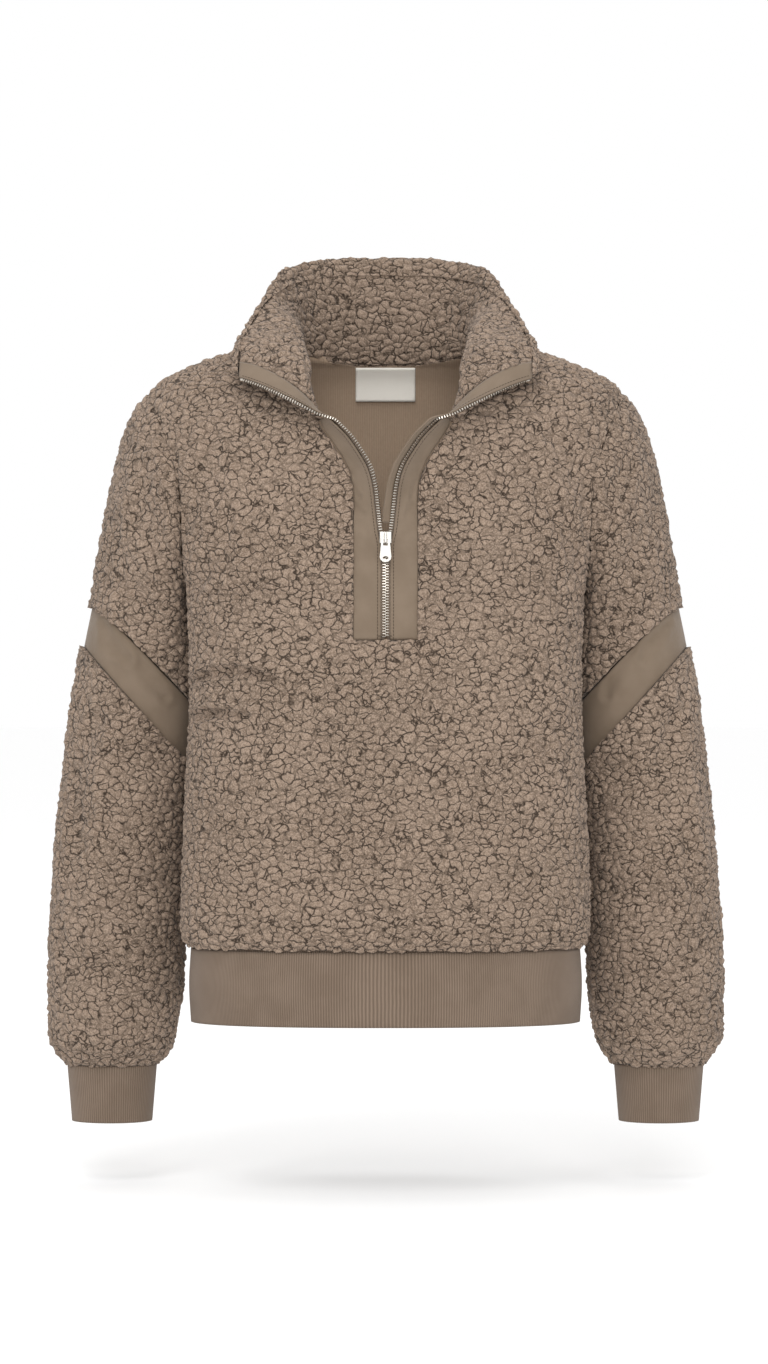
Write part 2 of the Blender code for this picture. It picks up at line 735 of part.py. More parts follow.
def roll_share(run):
    """Share of the height covered by the roll: broad across the back, narrow on the turned ends."""
    t = min(max((run - 120) / 80, 0), 1)
    return ROLL_NARROW + (ROLL_BAND - ROLL_NARROW) * t * t * (3 - 2 * t)


def collar(places):
    """Collar: an outer sherpa layer that rolls over the top edge, and an inner sherpa layer."""
    runs = [row.run for row in COLLAR]

    def up(share):
        """A row of the outer face, share of the way up to the roll."""

        def row(run):
            h = share * (1 - roll_share(run))
            return h, collar_half(h), h, COLLAR_SPLIT

        return row

    def over(turn):
        """A row of the roll, turn 0 outside, 1 over the top and 2 inside."""

        def row(run):
            roll = roll_share(run)
            h = 1 - roll * abs(turn - 1) ** 2
            offset = COLLAR_HALF * math.cos(math.pi / 2 * turn)
            return h, offset, 1 - roll + ROLL_GAP * turn, COLLAR_SPLIT

        return row

    def inner(share):
        def row(run):
            h = share * (1 - roll_share(run) - ROLL_GAP)
            return h, -collar_half(h), h, COLLAR_SPLIT - 2 * GAP

        return row

    outer_rows = [up(share) for share in COLLAR_SHARES] + [over(turn) for turn in ROLL_TURNS]
    collar_layer("collar_outer", [COLLAR_HIDE, *runs[1:]], outer_rows, "sherpa", places)
    inner_runs = [STRIP_WIDTH + INNER_STEP_BACK, 34, *runs[2:]]
    collar_layer("collar_inner", inner_runs, [inner(share) for share in COLLAR_SHARES], "sherpa", places)


def edge_place(station, w):
    """The wall's middle and outward normal at w from the zip's edge; station is a height or a share."""
    kind, at = station
    if kind == "collar":
        return collar_point(max(w, 0), at), collar_normal(max(w, 1), at)
    if kind == "between":
        below, n_below = edge_place(("front", NECK_END), w)
        above, n_above = edge_place(("collar", at), w)
        return (below + above) / 2, unit(n_below + n_above)
    edge = zip_edge(at)[0]
    x = edge + (float(table(FRONT_EDGE, at).x) - edge) * max(w, 0) / (PLACKET_HALF - 1)
    if at <= TURN_END:
        return wall_middle(x, at, 1)
    _, n = wall_middle(x + zip_edge(TURN_END)[0] - edge, TURN_END, 1)
    return front_at_x(x, at) - n * SHERPA / 2, n


def edge_strip(stations, ws, out, thick):
    """Grids of the two faces of a strip along the zip's edge."""
    faces = ([], [])
    for station in stations:
        lines = ([], [])
        for w in ws:
            p, n = edge_place(station, w)
            if w < 0:
                beside, _ = edge_place(station, 3)
                p = p + unit(p - beside) * -w
            lines[0].append(p + n * out)
            lines[1].append(p + n * (out - thick))
        faces[0].append(lines[0])
        faces[1].append(lines[1])
    return np.array(faces[0]), np.array(faces[1])


def placket_and_zip(places):
    """Placket, facings and zip tapes, one layer behind the other along the front's opening."""
    heights = [z for z in body_rows() if PLACKET_BOTTOM <= z <= NECK_END]
    heights += [PLACKET_BOTTOM, *TURN_ROWS]
    heights.sort()
    front = [("front", z) for z in heights]
    leaf = [("collar", share * (1 - ROLL_NARROW) - 0.01) for share in LEAF_SHARES]
    leaf.insert(0, ("between", leaf[0][1]))
    seam = PLACKET_HALF - 1 - 3 * GAP
    pair("placket", *edge_strip(front, (*EDGE_STEPS, seam), PLACKET_OUT, TWILL), "twill", places)
    tapes = edge_strip(front + leaf, (0, *EDGE_STEPS[:3]), TAPE_OUT, TAPE)
    pair("zip_tape", *tapes, "tape", places)
    opened = [station for station in front if station[1] > SLIDER_TOP + 5]
    left = edge_strip(opened + leaf, (1.5, *EDGE_STEPS), FACING_OUT, FACING)
    wall("facing_left", *left, "twill", places)
    faces = []
    for face in range(2):
        body = edge_strip(opened, (-GUARD, 1.5, *EDGE_STEPS), FACING_OUT, FACING)[face]
        ends = edge_strip(leaf, (0.5, 1.5, *EDGE_STEPS), FACING_OUT, FACING)[face]
        faces.append(mirrored(np.concatenate([body, ends])))
    wall("facing_right", *faces, "twill", places)


def neck_label(places):
    """Label: a bare woven tag, sewn at its top below the back neck seam."""
    outer, inner = [], []
    for z in np.linspace(LABEL_TOP, LABEL_BOTTOM, 3):
        lines = ([], [])
        for x in np.linspace(-LABEL_HALF, LABEL_HALF, 5):
            angle = angle_at_x(x, z, -1)
            p = body_point(angle, z)
            p[0] = x
            n = body_normal(angle, z)
            n[0] = math.copysign(n[0], x) if x else 0
            lines[0].append(p - n * (SHERPA + LABEL_GAP))
            lines[1].append(p - n * (SHERPA + LABEL_GAP + LABEL))
        outer.append(lines[0])
        inner.append(lines[1])
    wall("neck_label", outer, inner, "label", places)


# The slider and its pull tab


def block(size, centre, bevel, places, name="block"):
    """A box of this size in mm, with rounded edges."""
    mesh = bpy.data.meshes.new(name)
    bm = bmesh.new()
    bmesh.ops.create_cube(bm, size=1)
    bmesh.ops.scale(bm, vec=[s * MM for s in size], verts=bm.verts)
    bmesh.ops.translate(bm, vec=[c * MM for c in centre], verts=bm.verts)
    if bevel:
        bmesh.ops.bevel(bm, geom=bm.edges[:], offset=bevel * MM, segments=2, affect="EDGES", profile=0.5)
    bm.to_mesh(mesh)
    bm.free()
    return new_object(name, mesh, "metal", places)


def join(target, others, operation):
    """Unites the others with the target, or cuts them out of it, and removes them."""
    for other in others:
        modifier = target.modifiers.new("cut", "BOOLEAN")
        modifier.object = other
        modifier.operation = operation
        modifier.solver = "EXACT"
    evaluated = target.evaluated_get(bpy.context.evaluated_depsgraph_get())
    mesh = bpy.data.meshes.new_from_object(evaluated)
    target.modifiers.clear()
    target.data = mesh
    for other in others:
        bpy.data.objects.remove(other, do_unlink=True)


def zip_plane():
    """y of the zip tapes' middle at the slider."""
    middle, _ = wall_middle(0, (SLIDER_TOP + SLIDER_BOTTOM) / 2, 1)
    return middle[1] - TAPE_OUT + TAPE / 2


def slider(places):
    """Slider: two plates joined at the top by a wedge, and the bridge that holds the pull tab."""
    y = zip_plane()
    z = (SLIDER_TOP + SLIDER_BOTTOM) / 2
    tall = SLIDER_TOP - SLIDER_BOTTOM
    reach = (MOUTH + PLATE) / 2
    body = block((2 * SLIDER_HALF, PLATE, tall), (0, y - reach, z), 0.6, places, "zip_slider")
    back = block((2 * SLIDER_HALF, PLATE, tall), (0, y + reach, z), 0.6, places)
    wedge = block((WEDGE_WIDE, MOUTH + PLATE, WEDGE_TALL), (0, y, SLIDER_TOP - WEDGE_DOWN), 0, places)
    rise = BRIDGE_RISE + PLATE / 2
    bridge = block((2 * BRIDGE_HALF, rise, tall - BRIDGE_SHORT), (0, y - reach - rise / 2, z), 0.4, places)
    join(body, [back, wedge, bridge], "UNION")
    room = BRIDGE_RISE - BRIDGE_BAR
    face = y - reach - PLATE / 2
    hole_tall = tall - BRIDGE_SHORT - 2 * BRIDGE_BAR
    hole = block((4 * BRIDGE_HALF, room, hole_tall), (0, face - room / 2 - HOLE_CLEAR, z), 0, places)
    join(body, [hole], "DIFFERENCE")
    body.data.materials.clear()
    body.data.materials.append(bpy.data.materials["zip_slider"])


def pull_tab(places):
    """Pull tab: a flat drop with an oval hole, whose top bar lies under the slider's bridge."""
    y = zip_plane() - MOUTH / 2 - PLATE - PIVOT_OUT
    bm = bmesh.new()
    low = TAB_BAR_HALF + TAB_ROUND - TAB_LENGTH
    outline = [(-TAB_TOP_HALF, TAB_BAR_HALF), (TAB_TOP_HALF, TAB_BAR_HALF), (TAB_LOW_HALF, low)]
    for turn in np.linspace(0, math.pi, 7)[1:-1]:
        outline.append((TAB_LOW_HALF * math.cos(turn), low - TAB_ROUND * math.sin(turn)))
    outline.append((-TAB_LOW_HALF, low))
    face = bm.faces.new([bm.verts.new((x * MM, -TAB_THICK / 2 * MM, z * MM)) for x, z in outline])
    pushed = bmesh.ops.extrude_face_region(bm, geom=[face])
    moved = [v for v in pushed["geom"] if isinstance(v, bmesh.types.BMVert)]
    bmesh.ops.translate(bm, vec=(0, TAB_THICK * MM, 0), verts=moved)
    bmesh.ops.recalc_face_normals(bm, faces=bm.faces[:])
    mesh = bpy.data.meshes.new("zip_pull_tab")
    bm.to_mesh(mesh)
    bm.free()
    tab = new_object("zip_pull_tab", mesh, "metal", places)
    window = block((2 * TAB_WINDOW_HALF, 4 * TAB_THICK, TAB_WINDOW), (0, 0, -TAB_BAR_HALF - TAB_WINDOW / 2), 0, places)
    hole_mesh = bpy.data.meshes.new("hole")
    bm = bmesh.new()
    bmesh.ops.create_cone(bm, cap_ends=True, segments=16, radius1=MM, radius2=MM, depth=4 * TAB_THICK * MM)
    bmesh.ops.rotate(bm, matrix=mathutils.Matrix.Rotation(math.pi / 2, 3, "X"), verts=bm.verts)
    bmesh.ops.scale(bm, vec=(TAB_HOLE_WIDE, 1, TAB_HOLE_TALL), verts=bm.verts)
    bmesh.ops.translate(bm, vec=(0, 0, (TAB_HOLE_UP - TAB_LENGTH) * MM), verts=bm.verts)
    bm.to_mesh(hole_mesh)
    bm.free()
    hole = new_object("hole", hole_mesh, "metal", places)
    join(tab, [window, hole], "DIFFERENCE")
    tab.data.materials.clear()
    tab.data.materials.append(bpy.data.materials["zip_pull_tab"])
    tab.location = (0, y * MM, PIVOT_Z * MM)


def build():
    for obj in list(bpy.data.objects):
        bpy.data.objects.remove(obj, do_unlink=True)
    places = bpy.data.collections.new("half_zip_sherpa_pullover")
    bpy.context.scene.collection.children.link(places)
    front_panel(places)
    back_panel(places)
    sleeve_piece("sleeve_upper", 0, 1 - 0.002, 5, 0, SHERPA, "sherpa", places)
    sleeve_piece("sleeve_band", 1 + 0.004, 2 - 0.004, 2, BAND_INSET, BAND_TWILL, "twill", places)
    sleeve_piece("sleeve_lower", 2 + 0.001, 3, 9, 0, SHERPA, "sherpa", places)
    cuffs(places)
    hem_band(places)
    collar(places)
    placket_and_zip(places)
    neck_label(places)
    slider(places)
    pull_tab(places)


build()
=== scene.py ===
"""The look of a half-zip pullover of sherpa fleece, filled out as when worn but empty inside.

The script follows the garment as it is sewn: body, sleeves, ribs, collar, placket, zip, label. Sizes
are in millimetres and become metres where a mesh is made. Left is the side at -X.
"""

import math
from collections import namedtuple

import bmesh
import bpy
import numpy as np
from mathutils import Matrix, Vector


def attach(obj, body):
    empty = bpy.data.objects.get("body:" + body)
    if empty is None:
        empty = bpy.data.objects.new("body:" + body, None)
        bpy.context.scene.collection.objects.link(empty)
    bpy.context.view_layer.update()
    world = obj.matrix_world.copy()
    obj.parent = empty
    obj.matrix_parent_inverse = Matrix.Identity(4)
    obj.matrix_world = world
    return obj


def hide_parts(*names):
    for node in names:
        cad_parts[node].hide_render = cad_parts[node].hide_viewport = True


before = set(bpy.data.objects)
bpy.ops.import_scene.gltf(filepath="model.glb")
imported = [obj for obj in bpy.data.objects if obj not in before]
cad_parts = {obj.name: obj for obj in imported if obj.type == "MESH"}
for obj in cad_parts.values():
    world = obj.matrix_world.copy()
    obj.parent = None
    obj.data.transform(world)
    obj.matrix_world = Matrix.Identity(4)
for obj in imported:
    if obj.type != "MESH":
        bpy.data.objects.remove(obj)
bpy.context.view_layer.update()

# Sherpa. A knitted backing carries a deep curly pile that clumps into rounded lumps of 6 to 9 mm with
# thin wandering grooves between them. The same pattern raises the mesh and colours it, with painted
# shade in the grooves.
MM = 0.001
CURL = 8.2
SMALL_CURL = 0.56 * CURL
CURL_STRETCH = (0.86, 0.95, 1.25)
BROAD_WANDER = (18, 10)
FINE_WANDER = (4.2, 5.0)
GROOVE = 0.115
PILE = 2.4
SWELL = 3.2
FIBRE = 1.3
STRAND = 2.2
PATCH = 60
SHERPA_MAIN = (0.206, 0.149, 0.109)
SHERPA_SHADE = (0.158, 0.112, 0.080)
SHERPA_TIP = (0.370, 0.280, 0.214)
# Painted shade: the near-black colour put into the grooves between the lumps, where shadow falls.
SHERPA_GROOVE_SHADE = (0.022, 0.014, 0.009)
WALE_PITCH = 2.2


class Wire:
    """A node socket that takes part in arithmetic."""

    def __init__(self, tree, socket):
        self.tree = tree
        self.socket = socket

    def math(self, operation, *values):
        return self.tree.add("ShaderNodeMath", {"operation": operation}, dict(enumerate(values)))

    def __add__(self, other):
        return self.math("ADD", self, other)

    def __sub__(self, other):
        return self.math("SUBTRACT", self, other)

    def __mul__(self, other):
        return self.math("MULTIPLY", self, other)

    def __rsub__(self, other):
        return self.math("SUBTRACT", other, self)

    __radd__ = __add__
    __rmul__ = __mul__

    def sine(self):
        return self.math("SINE", self)

    def waves(self, pitch, drift=0.0):
        """Waves between 0 and 1 along a length, with that pitch in mm."""
        return (self * (2 * math.pi / (pitch * MM)) + drift).sine() * 0.5 + 0.5

    def smooth(self, low, high):
        """0 below low, 1 above high, easing between."""
        values = {"Value": self, "From Min": low, "From Max": high}
        return self.tree.add("ShaderNodeMapRange", {"interpolation_type": "SMOOTHSTEP"}, values)


class Tree:
    """A node tree of a material or a modifier, and the one way of adding a node to it."""

    def __init__(self, tree):
        self.tree = tree

    def add(self, kind, settings, values, output=0):
        node = self.tree.nodes.new(kind)
        for key, value in settings.items():
            setattr(node, key, value)
        for key, value in values.items():
            socket = node.inputs[key]
            if isinstance(value, Wire):
                self.tree.links.new(value.socket, socket)
            else:
                socket.default_value = value
        return Wire(self, node.outputs[output])

    def here(self):
        """The place on the finished object."""
        return self.add("ShaderNodeTexCoord", {}, {}, "Object")

    def cut(self):
        """The place on the flat cut cloth."""
        return self.add("ShaderNodeUVMap", {"uv_map": "cut"}, {})

    def axis(self, place, letter):
        return self.add("ShaderNodeSeparateXYZ", {}, {"Vector": place}, letter)

    def noise(self, place, size, detail=2.0, rough=0.5, output="Fac"):
        values = {"Vector": place, "Scale": 1 / (size * MM), "Detail": detail, "Roughness": rough}
        return self.add("ShaderNodeTexNoise", {}, values, output)

    def vector(self, operation, *values, output=0):
        places = dict(enumerate(values))
        return self.add("ShaderNodeVectorMath", {"operation": operation}, places, output)

    def scaled(self, place, factor):
        return self.add("ShaderNodeVectorMath", {"operation": "SCALE"}, {0: place, "Scale": factor})

    def mix(self, factor, a, b):
        """Colour a, or b where factor is 1."""
        node = self.tree.nodes.new("ShaderNodeMix")
        node.data_type = "RGBA"
        for socket, value in ((node.inputs[0], factor), (node.inputs[6], a), (node.inputs[7], b)):
            if isinstance(value, Wire):
                self.tree.links.new(value.socket, socket)
            else:
                socket.default_value = value if socket.type == "VALUE" else (*value, 1)
        return Wire(self, node.outputs[2])

    def warped(self, place, size, reach):
        """The place, wandering by up to half that reach in mm."""
        wander = self.vector("SUBTRACT", self.noise(place, size, 1.5, output="Color"), (0.5, 0.5, 0.5))
        return self.vector("ADD", place, self.scaled(wander, reach * MM))

    def cells(self, place, size, feature, **values):
        values = {"Vector": place, "Scale": 1 / (size * MM), "Randomness": 1.0, **values}
        return self.add("ShaderNodeTexVoronoi", {"feature": feature}, values)

    def curls(self, rest):
        """The thin broken grooves, the lumps' plateaus and their domes."""
        place = self.warped(self.warped(rest, *BROAD_WANDER), *FINE_WANDER)
        place = self.vector("MULTIPLY", place, CURL_STRETCH)
        edge = self.cells(place, CURL, "DISTANCE_TO_EDGE")
        dome = self.cells(place, CURL, "SMOOTH_F1", Smoothness=0.35)
        small = self.cells(place, SMALL_CURL, "DISTANCE_TO_EDGE")
        gap = self.noise(rest, 7, 1.0).smooth(0.34, 0.56)
        groove = (1 - edge.smooth(0.0, GROOVE)) * (gap * 0.55 + 0.45)
        split = (1 - small.smooth(0.0, 0.12)) * (0.42 - gap * 0.36)
        return groove.math("MAXIMUM", groove, split), edge.smooth(0, 0.4), 1 - dome.smooth(0.05, 0.8)


def sherpa_relief():
    """A modifier's node tree that raises the pile on the outer face and leaves the inside plain."""
    group = bpy.data.node_groups.new("sherpa relief", "GeometryNodeTree")
    group.interface.new_socket("Geometry", in_out="INPUT", socket_type="NodeSocketGeometry")
    group.interface.new_socket("Geometry", in_out="OUTPUT", socket_type="NodeSocketGeometry")
    tree = Tree(group)
    cloth = Wire(tree, group.nodes.new("NodeGroupInput").outputs[0])
    place = tree.add("GeometryNodeInputPosition", {}, {})
    settings = {"data_type": "FLOAT_VECTOR", "domain": "POINT"}
    values = {"Geometry": cloth, "Name": "rest", "Value": place}
    kept = tree.add("GeometryNodeStoreNamedAttribute", settings, values)
    groove, lump, dome = tree.curls(place)
    inner = tree.add("GeometryNodeInputNamedAttribute", {"data_type": "FLOAT"}, {"Name": "inner"})
    swell = tree.noise(place, 38, 2.0)
    height = (lump * 0.55 + dome * 0.45 - groove * 0.2 - 0.6) * PILE + (swell - 0.5) * SWELL
    normal = tree.add("GeometryNodeInputNormal", {}, {})
    move = tree.scaled(normal, height * (1 - inner) * MM)
    raised = tree.add("GeometryNodeSetPosition", {}, {"Geometry": kept, "Offset": move})
    group.links.new(raised.socket, group.nodes.new("NodeGroupOutput").inputs[0])
    return group


RELIEF = sherpa_relief()


def new_material(name, roughness, sheen=0.0, metallic=0.0):
    """A material, its tree and its shader, with the values that are the same all over."""
    material = bpy.data.materials.new(name)
    material.use_nodes = True
    shader = material.node_tree.nodes["Principled BSDF"]
    shader.inputs["Roughness"].default_value = roughness
    shader.inputs["Metallic"].default_value = metallic
    shader.inputs["Sheen Weight"].default_value = sheen
    shader.inputs["Sheen Roughness"].default_value = 0.5
    if not metallic:
        shader.inputs["Specular IOR Level"].default_value = 0.2
    return material, Tree(material.node_tree), shader


def feed(tree, shader, colour, height=None, depth=1.0, strength=1.0):
    """Links the colour and, as a bump of that depth in mm, the height."""
    tree.tree.links.new(colour.socket, shader.inputs["Base Color"])
    if height:
        values = {"Height": height, "Distance": depth * MM, "Strength": strength}
        bump = tree.add("ShaderNodeBump", {}, values)
        tree.tree.links.new(bump.socket, shader.inputs["Normal"])


def sherpa_material():
    material, tree, shader = new_material("sherpa pile", 0.95, sheen=0.08)
    rest = tree.add("ShaderNodeAttribute", {"attribute_name": "rest"}, {}, "Vector")
    groove, lump, dome = tree.curls(rest)
    fibre = tree.noise(rest, FIBRE, 2.0, 0.7)
    strand = tree.noise(tree.warped(rest, 2.4, 4), STRAND, 2.0)
    patch = tree.noise(rest, PATCH, 2.0)
    tone = tree.mix(patch.smooth(0.35, 0.65), SHERPA_SHADE, SHERPA_MAIN)
    tone = tree.mix((fibre * 0.65 + strand * 0.35).smooth(0.4, 0.6) * 0.76, tone, SHERPA_TIP)
    # Painted shade: the grooves between the lumps are coloured near black, standing in for the shadow
    # that falls in them.
    tone = tree.mix(groove * 0.95, tone, SHERPA_GROOVE_SHADE)
    height = lump * 0.35 + dome * 0.3 - groove * 0.45 + strand * 0.25 + fibre * 0.3
    feed(tree, shader, tone, height, 1.4, 0.9)
    return material


def backing_material():
    """The smooth knitted backing that shows inside, with fine upright wales. Its colour is lighter than
    the sherpa's to make up for the shade inside the neck, so part of it is painted light.
    """
    material, tree, shader = new_material("knitted backing", 0.9, sheen=0.1)
    place = tree.here()
    wale = tree.axis(place, "X").waves(WALE_PITCH, tree.noise(place, 9) * 2)
    fuzz = tree.noise(place, 3, 3.0)
    # Painted light: both tones are lightened to stand in for the light that the shaded inside of the
    # neck lacks.
    tone = tree.mix(fuzz, (0.330, 0.240, 0.168), (0.400, 0.296, 0.212))
    tone = tree.mix(wale * 0.24, tone, (0.220, 0.155, 0.105))
    feed(tree, shader, tone, wale * 0.5 + fuzz * 0.5, 0.4, 0.5)
    return material


SHERPA_CLOTH = sherpa_material()
BACKING = backing_material()


Crease = namedtuple("Crease", "x0 z0 x1 z1 width depth side")
CREASE_BOW = 0.12
CREASE_FADE = 1.3
CREASE_RIDGE = 0.45


def finer(grid, times, wrap):
    """The grid with more points between its own, on smooth curves through them, along its rows."""
    if wrap:
        before, after = grid[:, -1:], grid[:, :2]
    else:
        before, after = 2 * grid[:, :1] - grid[:, 1:2], 2 * grid[:, -1:] - grid[:, -2:-1]
    padded = np.concatenate([before, grid, after], axis=1)
    a, b, c, d = (padded[:, k : padded.shape[1] - 3 + k, None] for k in range(4))
    t = (np.arange(times) / times)[None, None, :, None]
    fine = b + 0.5 * t * (c - a + t * (2 * a - 5 * b + 4 * c - d + t * (3 * (b - c) + d - a)))
    fine = fine.reshape(grid.shape[0], -1, 3)
    return fine if wrap else np.concatenate([fine, grid[:, -1:]], axis=1)


def creased(grid, creases, outward, wrap):
    """Presses soft troughs into the cloth, ridges where the depth is negative, away from its seams."""
    down, across = np.gradient(grid, axis=0), np.gradient(grid, axis=1)
    row, column = np.arange(grid.shape[0]), np.arange(grid.shape[1])
    seam = np.minimum(row, row[::-1])[:, None] * np.linalg.norm(down, axis=2).mean()
    if not wrap:
        seam = np.minimum(seam, np.minimum(column, column[::-1]) * np.linalg.norm(across, axis=2).mean())
    normal = np.cross(down, across) * outward
    normal /= np.maximum(np.linalg.norm(normal, axis=2, keepdims=True), 1e-9)
    total = np.zeros(grid.shape[:2])
    for c in creases:
        start, along = np.array([c.x0, c.z0]), np.array([c.x1 - c.x0, c.z1 - c.z0])
        at = grid[:, :, [0, 2]] - start
        t = np.clip(at @ along / (along @ along), 0, 1)
        bow = CREASE_BOW * math.hypot(*along) * np.sin(math.pi * t) * (1 if (c.x0 + c.z0) % 2 else -1)
        off = at - t[:, :, None] * along
        off -= bow[:, :, None] * np.array([-along[1], along[0]]) / math.hypot(*along)
        reach = c.width * (0.55 + 0.75 * np.sin(math.pi * np.clip(t, 0.08, 0.92)))
        ease = np.clip(seam / (CREASE_FADE * c.width), 0, 1)
        faces = np.clip(1.6 * normal[:, :, 1] * c.side, 0, 1) * ease * ease * (3 - 2 * ease)
        far = np.linalg.norm(off, axis=2) / reach
        total += c.depth * faces * np.exp(-(far**2))
        total -= CREASE_RIDGE * c.depth * faces * np.exp(-((far - 1.7) ** 2) * 2.2)
    return grid - normal * total[:, :, None]


def finished(name, bm, finishes):
    """The bmesh as an object of the scene."""
    mesh = bpy.data.meshes.new(name)
    bm.to_mesh(mesh)
    bm.free()
    for finish in finishes:
        mesh.materials.append(finish)
    piece = bpy.data.objects.new(name, mesh)
    bpy.context.scene.collection.objects.link(piece)
    return piece


def cloth(
    name, grid, finishes, thickness, times, wrap=False, keep=None, flip=False, relief=True, creases=()
):
    """A piece of cloth on rows of points: a sheet that many times finer, its thickness and its pile."""
    coarse = np.asarray(grid, float)
    grid = finer(finer(coarse, times, wrap).transpose(1, 0, 2), times, False).transpose(1, 0, 2)
    grid = creased(grid, creases, -1 if flip else 1, wrap)
    rows, columns = grid.shape[0] - 1, grid.shape[1] - (0 if wrap else 1)
    bm = bmesh.new()
    bmesh.ops.create_grid(bm, x_segments=columns, y_segments=rows, size=0.5)
    uv = bm.loops.layers.uv.new("cut")
    tall = np.linalg.norm(np.diff(grid, axis=0), axis=2).mean() * MM
    wide = np.linalg.norm(np.diff(grid, axis=1), axis=2).mean() * MM
    places = {v: (round((0.5 - v.co.y) * rows), round((v.co.x + 0.5) * columns)) for v in bm.verts}
    if keep:
        first = {f: [min(places[v][k] for v in f.verts) // times for k in (0, 1)] for f in bm.faces}
        bmesh.ops.delete(bm, geom=[f for f in first if not keep(*first[f])], context="FACES")
    for f in bm.faces:
        for loop in f.loops:
            i, j = places[loop.vert]
            loop[uv].uv = (j * wide, -i * tall)
    for v in bm.verts:
        i, j = places[v]
        v.co = Vector(grid[i, j % grid.shape[1]]) * MM
    if wrap:
        bmesh.ops.remove_doubles(bm, verts=bm.verts, dist=1e-6)
    if flip:
        bmesh.ops.reverse_faces(bm, faces=bm.faces)
    piece = finished(name, bm, finishes)
    piece.data.shade_smooth()
    thick = piece.modifiers.new("thickness", "SOLIDIFY")
    thick.thickness = thickness * MM
    thick.offset = -1
    if len(finishes) > 1:
        thick.material_offset = 1
    if relief:
        piece.vertex_groups.new(name="inner")
        thick.shell_vertex_group = "inner"
        pile = piece.modifiers.new("pile", "NODES")
        pile.node_group = RELIEF
    return piece


# Front panel. Sherpa cut in one piece, with a slot for the placket; its opened neck edges turn forward.
# It is sewn to the back along the shoulders and sides, and to the sleeves at oval armholes.
SHERPA = 6.2
BodyLevel = namedtuple("BodyLevel", "z half_width front back widest front_power back_power")
BODY = [BodyLevel(*row) for row in (
    (6, 88, -30, 60, 0, 2.2, 2.2),
    (-2, 124, -46, 72, -1, 2.2, 2.2),
    (-14, 166, -63, 84, -2, 2.3, 2.3),
    (-24, 189, -73, 91, -2, 2.3, 2.4),
    (-33, 208, -80, 95, -3, 2.3, 2.5),
    (-45, 221, -87, 99, -4, 2.4, 2.6),
    (-64, 226, -96, 104, -12, 2.4, 2.6),
    (-86, 226, -104, 108, -20, 2.4, 2.6),
    (-102, 221, -109, 110, -25, 2.4, 2.6),
    (-142, 209, -116, 113, -34, 2.4, 2.6),
    (-180, 197, -121, 114, -39, 2.4, 2.5),
    (-218, 187, -124, 113, -43, 2.4, 2.1),
    (-240, 184, -125, 112, -45, 2.4, 1.9),
    (-322, 182, -124, 110, -45, 2.4, 1.75),
    (-427, 186, -122, 108, -45, 2.4, 1.75),
    (-538, 190, -122, 108, -45, 2.4, 1.75),
    (-554, 188, -120, 106, -45, 2.4, 1.75),
    (-562, 183, -115, 101, -45, 2.4, 1.75),
)]
NECK_TOP = BODY[0].z
HEM_SEAM = BODY[-1].z
SHOULDER_POINT = -45.0
ARMPIT = -240.0
ARMHOLE_MIDDLE = (SHOULDER_POINT + ARMPIT) / 2
ARMHOLE_FRONT = 76.0
ARMHOLE_BACK = 64.0
SIDE_SEAM_Y = 0.0
ARMHOLE_TURNS = np.linspace(0, math.pi, 12)
NECK_END = ARMHOLE_MIDDLE + (SHOULDER_POINT - ARMHOLE_MIDDLE) * math.cos(ARMHOLE_TURNS[3])
EdgePoint = namedtuple("EdgePoint", "z x")
FRONT_EDGE = [EdgePoint(*row) for row in (
    (6, -85), (-4, -85), (-16, -82), (-34, -77), (-56, -69), (-80, -61), (-102, -47), (-118, -37),
    (-134, -31), (-150, -29), (-279, -29)
)]
ZIP_EDGE = [EdgePoint(*row) for row in (
    (-80, -54), (-99, -34), (-113, -24.5), (-126, -17), (-141, -12.5), (-158, -9.5), (-182, -4.6),
    (-194, -1.2), (-202, -1.0), (-279, -1.0)
)]
PLACKET_BOTTOM = -279.0
PLACKET_HALF = 29.0
Lift = namedtuple("Lift", "z depth")
LIFTS = [Lift(*row) for row in (
    (-20, 0), (-34, 3), (-56, 13), (-80, 22), (-102, 23), (-134, 20), (-158, 13), (-180, 4),
    (-200, 0)
)]
LIFT_AT_SEAM = 0.2
LIFT_FADE = 25.0
FRONT_CREASES = [
    Crease(-190, -321, -100, -315, 3.6, 6.5, -1),
    Crease(-190, -357, -126, -350, 3.6, 6.0, -1),
    Crease(188, -180, 152, -92, 10, 3.2, -1),
    Crease(176, -214, 138, -148, 9, 2.2, -1),
    Crease(-190, -176, -160, -92, 10, 2.8, -1),
    Crease(-178, -230, -146, -172, 9, 2.2, -1),
    Crease(180, -472, 112, -455, 11, 2.4, -1),
    Crease(-168, -498, -104, -520, 12, 2.2, -1),
    Crease(176, -352, 128, -372, 9, 2.0, -1),
    Crease(-70, -330, -52, -440, 18, 1.6, -1),
    Crease(64, -318, 82, -452, 18, 1.6, -1),
    Crease(8, -300, 4, -392, 14, 1.2, -1),
]
RIDGE_GAP = 0.004
BODY_COLUMNS = 10
MIDDLE_COLUMNS = 4


